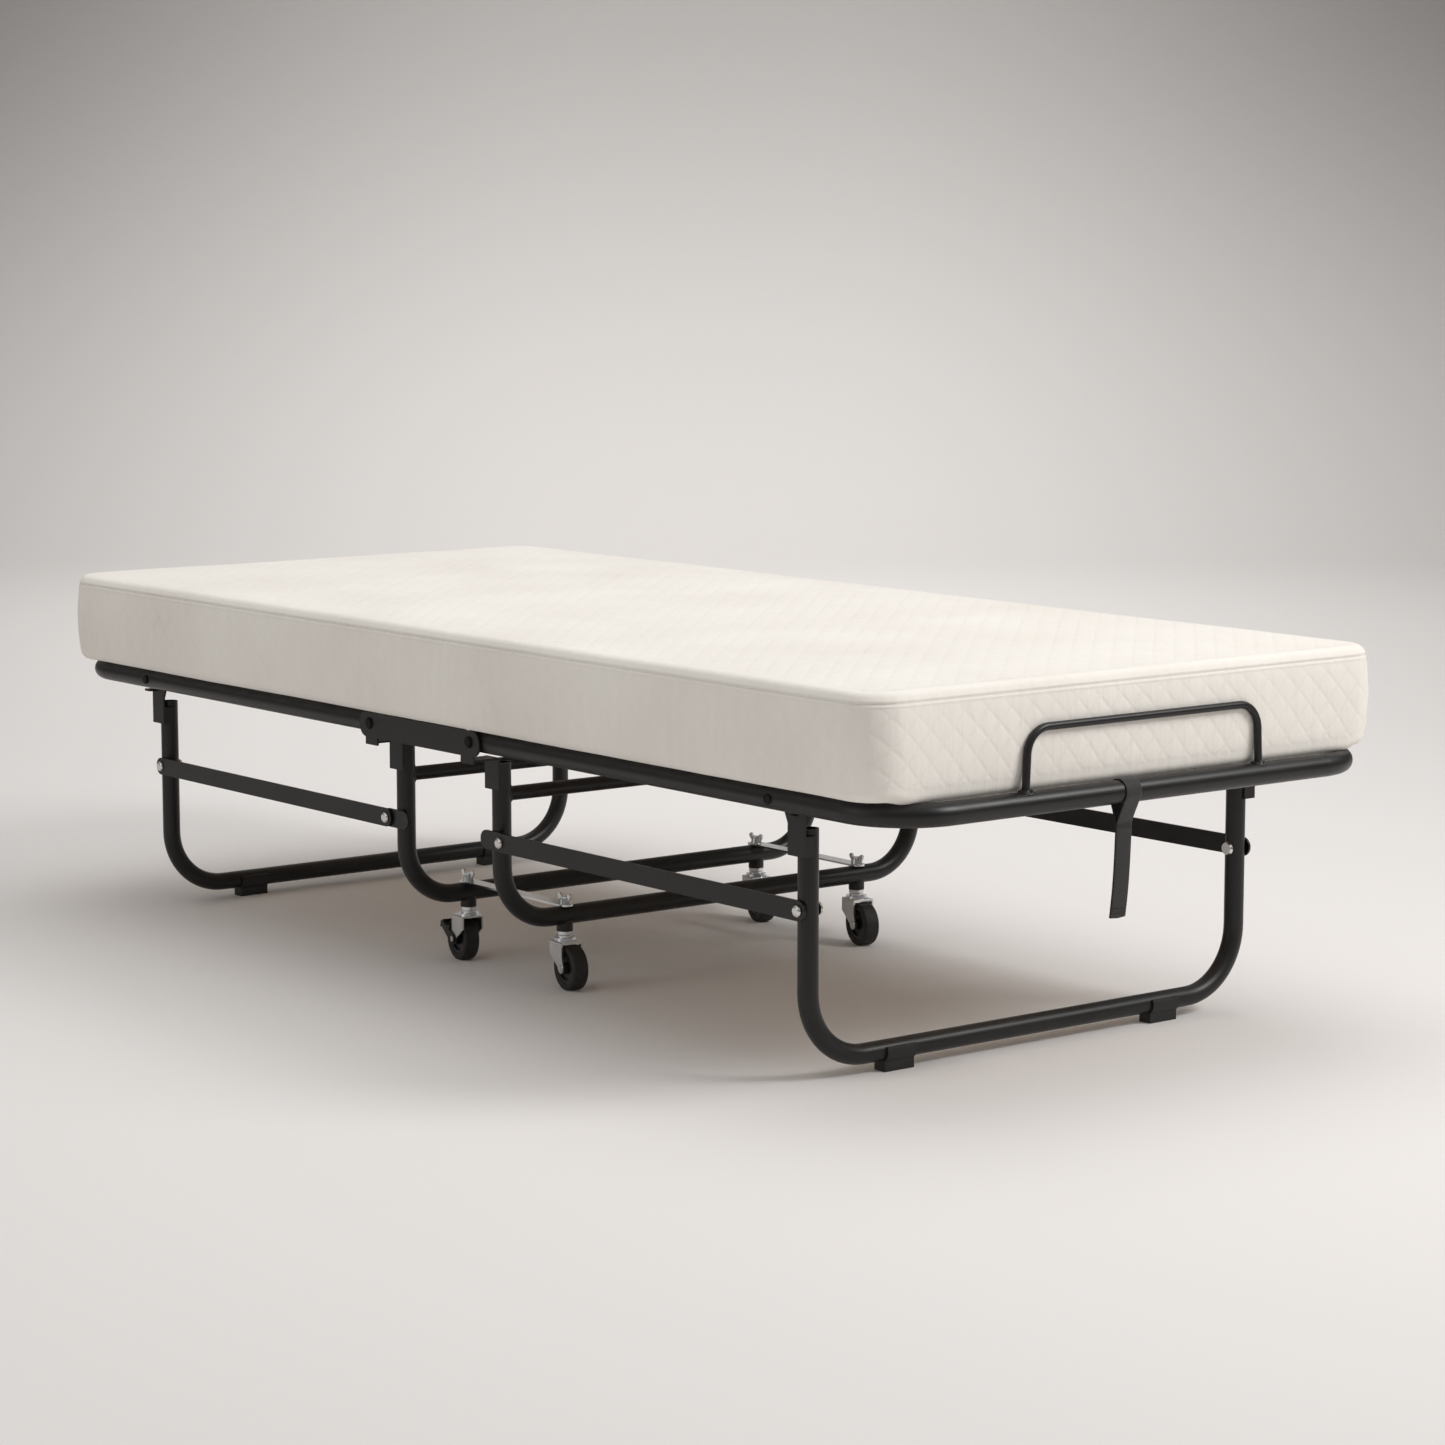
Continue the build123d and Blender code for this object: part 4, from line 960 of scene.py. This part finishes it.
# %% Put the welds on
frame_low, frame_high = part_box("foot_castor_frame")
FRAME_TUBE = (frame_high[0] - frame_low[0]) / 2
for end, way in (("foot", 1), ("head", -1)):
    hoop_low, hoop_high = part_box(f"{end}_mattress_hoop")
    rod = (hoop_high[0] - hoop_low[0]) / 2
    hoop_y = hoop_high[1] - rod
    beads = []
    for side in (-1, 1):
        foot = (way * RAIL_X, side * hoop_y, RAIL_Z + RAIL_RADIUS)
        beads.append(weld_bead(foot, (0, 0, 1), (1, 0, 0), rod, RAIL_RADIUS, 3 + side + way))
    weld_set(f"{end}_hoop_welds", beads, f"{end}_deck")
    cross_low, cross_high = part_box(f"{end}_frame_cross_tube")
    cross_radius = (cross_high[2] - cross_low[2]) / 2
    cross_x, cross_z = (cross_low[0] + cross_high[0]) / 2, (cross_low[2] + cross_high[2]) / 2
    beads = []
    for side in (-1, 1):
        meeting = (cross_x, side * (frame_high[1] - 2 * FRAME_TUBE), cross_z)
        beads.append(weld_bead(meeting, (0, -side, 0), (1, 0, 0), cross_radius, FRAME_TUBE, 7 + side + way))
    weld_set(f"{end}_cross_tube_welds", beads, "centre_unit")

# %% [markdown]
# ## Stage and light
# A pale floor that curves up into the wall behind, a large soft lamp high on the right, and a weak
# one on the left, so that the long side of the mattress lies in shade. The air of the studio is
# bright overhead and dim at the horizon, which the black tubes mirror.

# %% Stage
view_turn = np.radians(CAMERA_TURN)
back_way = np.array([-np.sin(view_turn), np.cos(view_turn)])
side_way = np.array([np.cos(view_turn), np.sin(view_turn)])
PAPER_GRAIN_MM = 2.5


def studio_paper():
    """Matt paper, lit less and less towards the sides and the top of the set, which its colour
    carries, with a faint grain."""
    material, tree, shader = new_material("matt studio paper", Roughness=0.9)
    at = put(tree, "ShaderNodeTexCoord").outputs["Object"]
    aside = put(tree, "ShaderNodeVectorMath", {"operation": "DOT_PRODUCT"}, {1: (*side_way, 0)}, {0: at})
    aside = put(tree, "ShaderNodeMath", {"operation": "ABSOLUTE"}, links={0: aside.outputs["Value"]})
    high = put(tree, "ShaderNodeSeparateXYZ", links={"Vector": at}).outputs["Z"]
    shades = []
    for value, start, end, reach in ((aside.outputs[0], 0.4, 3.8, 0.5), (high, 0.1, 2.4, 0.6)):
        shade = put(
            tree,
            "ShaderNodeMapRange",
            {"interpolation_type": "SMOOTHSTEP"},
            {"From Min": start, "From Max": end, "To Max": reach},
            {"Value": value},
        )
        shades.append(shade.outputs["Result"])
    dark = put(tree, "ShaderNodeMath", {"operation": "ADD"}, links={0: shades[0], 1: shades[1]})
    grain = put(
        tree,
        "ShaderNodeTexNoise",
        values={"Scale": speckle(PAPER_GRAIN_MM), "Detail": 2},
        links={"Vector": at},
    )
    bump = put(
        tree,
        "ShaderNodeBump",
        values={"Strength": 0.1, "Distance": 0.2 * MM},
        links={"Height": grain.outputs["Fac"]},
    )
    colour = put(
        tree,
        "ShaderNodeValToRGB",
        links={"Fac": dark.outputs[0]},
        stops=[(0.0, paint("e5e2e0")), (1.0, paint("858280"))],
    )
    tree.links.new(colour.outputs["Color"], shader.inputs["Base Color"])
    tree.links.new(bump.outputs["Normal"], shader.inputs["Normal"])
    return material


stage_material = studio_paper()
FLOOR_REACH = 6.0
WALL_HEIGHT = 7.0
COVE = 3.0


def cove_profile(steps):
    """Distance back and height of the paper: flat floor, a quarter circle, then the wall."""
    turn = np.linspace(0, np.pi / 2, steps)
    back = np.concatenate([[-FLOOR_REACH * 2], FLOOR_REACH + COVE * np.sin(turn), [FLOOR_REACH + COVE]])
    up = np.concatenate([[0], COVE * (1 - np.cos(turn)), [WALL_HEIGHT]])
    return back, up


back, up = cove_profile(24)
across = np.linspace(-12, 12, 3)
plan = back[:, None, None] * back_way + across[None, :, None] * side_way
rise = np.broadcast_to(up[:, None, None], (len(up), len(across), 1))
paper_points = np.concatenate([plan, rise], -1).reshape(-1, 3)
paper = add_mesh("studio_paper", paper_points, grid_faces(len(up), len(across))[:, ::-1], stage_material)
paper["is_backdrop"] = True


# %% Lamps
def softbox(name, place, aim, size, power, colour):
    """A square area lamp at a place, turned to face an aim."""
    lamp = bpy.data.lights.new(name, "AREA")
    lamp.size, lamp.energy, lamp.color = size, power, colour
    made = bpy.data.objects.new(name, lamp)
    bpy.context.scene.collection.objects.link(made)
    made.location = place
    made.rotation_euler = (Vector(aim) - Vector(place)).to_track_quat("-Z", "Y").to_euler()
    return made


BED = (0, 0, 0.3)
softbox("key softbox", (3.2, 2.0, 3.0), BED, 1.5, 100, (1.0, 0.99, 0.98))
softbox("overhead softbox", (-0.6, 0.4, 3.6), BED, 3.0, 42, (1.0, 0.995, 0.99))
back_aim = (float(back_way[0]) * 9, float(back_way[1]) * 9, 0.2)
back_place = (float(back_way[0]) * 4, float(back_way[1]) * 4, 4.5)
softbox("backdrop softbox", back_place, back_aim, 2.0, 130, (1.0, 0.99, 0.98))
softbox("front fill", (-0.6, -4.4, 1.5), BED, 2.5, 17, (1.0, 0.995, 0.99))
world = bpy.data.worlds.new("studio air")
bpy.context.scene.world = world
world.use_nodes = True
air = world.node_tree
direction = put(air, "ShaderNodeTexCoord").outputs["Generated"]
upward = put(air, "ShaderNodeSeparateXYZ", links={"Vector": direction}).outputs["Z"]
air_colour = put(
    air,
    "ShaderNodeValToRGB",
    links={"Fac": upward},
    stops=[(0.0, paint("767472")), (0.25, paint("9c9a98")), (0.8, paint("f2f0ee"))],
)
air.links.new(air_colour.outputs["Color"], air.nodes["Background"].inputs["Color"])
air.nodes["Background"].inputs["Strength"].default_value = 0.74
bpy.context.scene.view_settings.view_transform = "Standard"
print(len(bpy.data.lights), "lamps")

# %% [markdown]
# ## Size
# Cloth and foam may stand a few millimetres proud of the imported model, and nothing else may. The
# box round everything shown, but the stage paper, is printed.

# %% Size of the whole
low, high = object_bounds()
print("visual box", [round(v, 4) for v in low], [round(v, 4) for v in high])
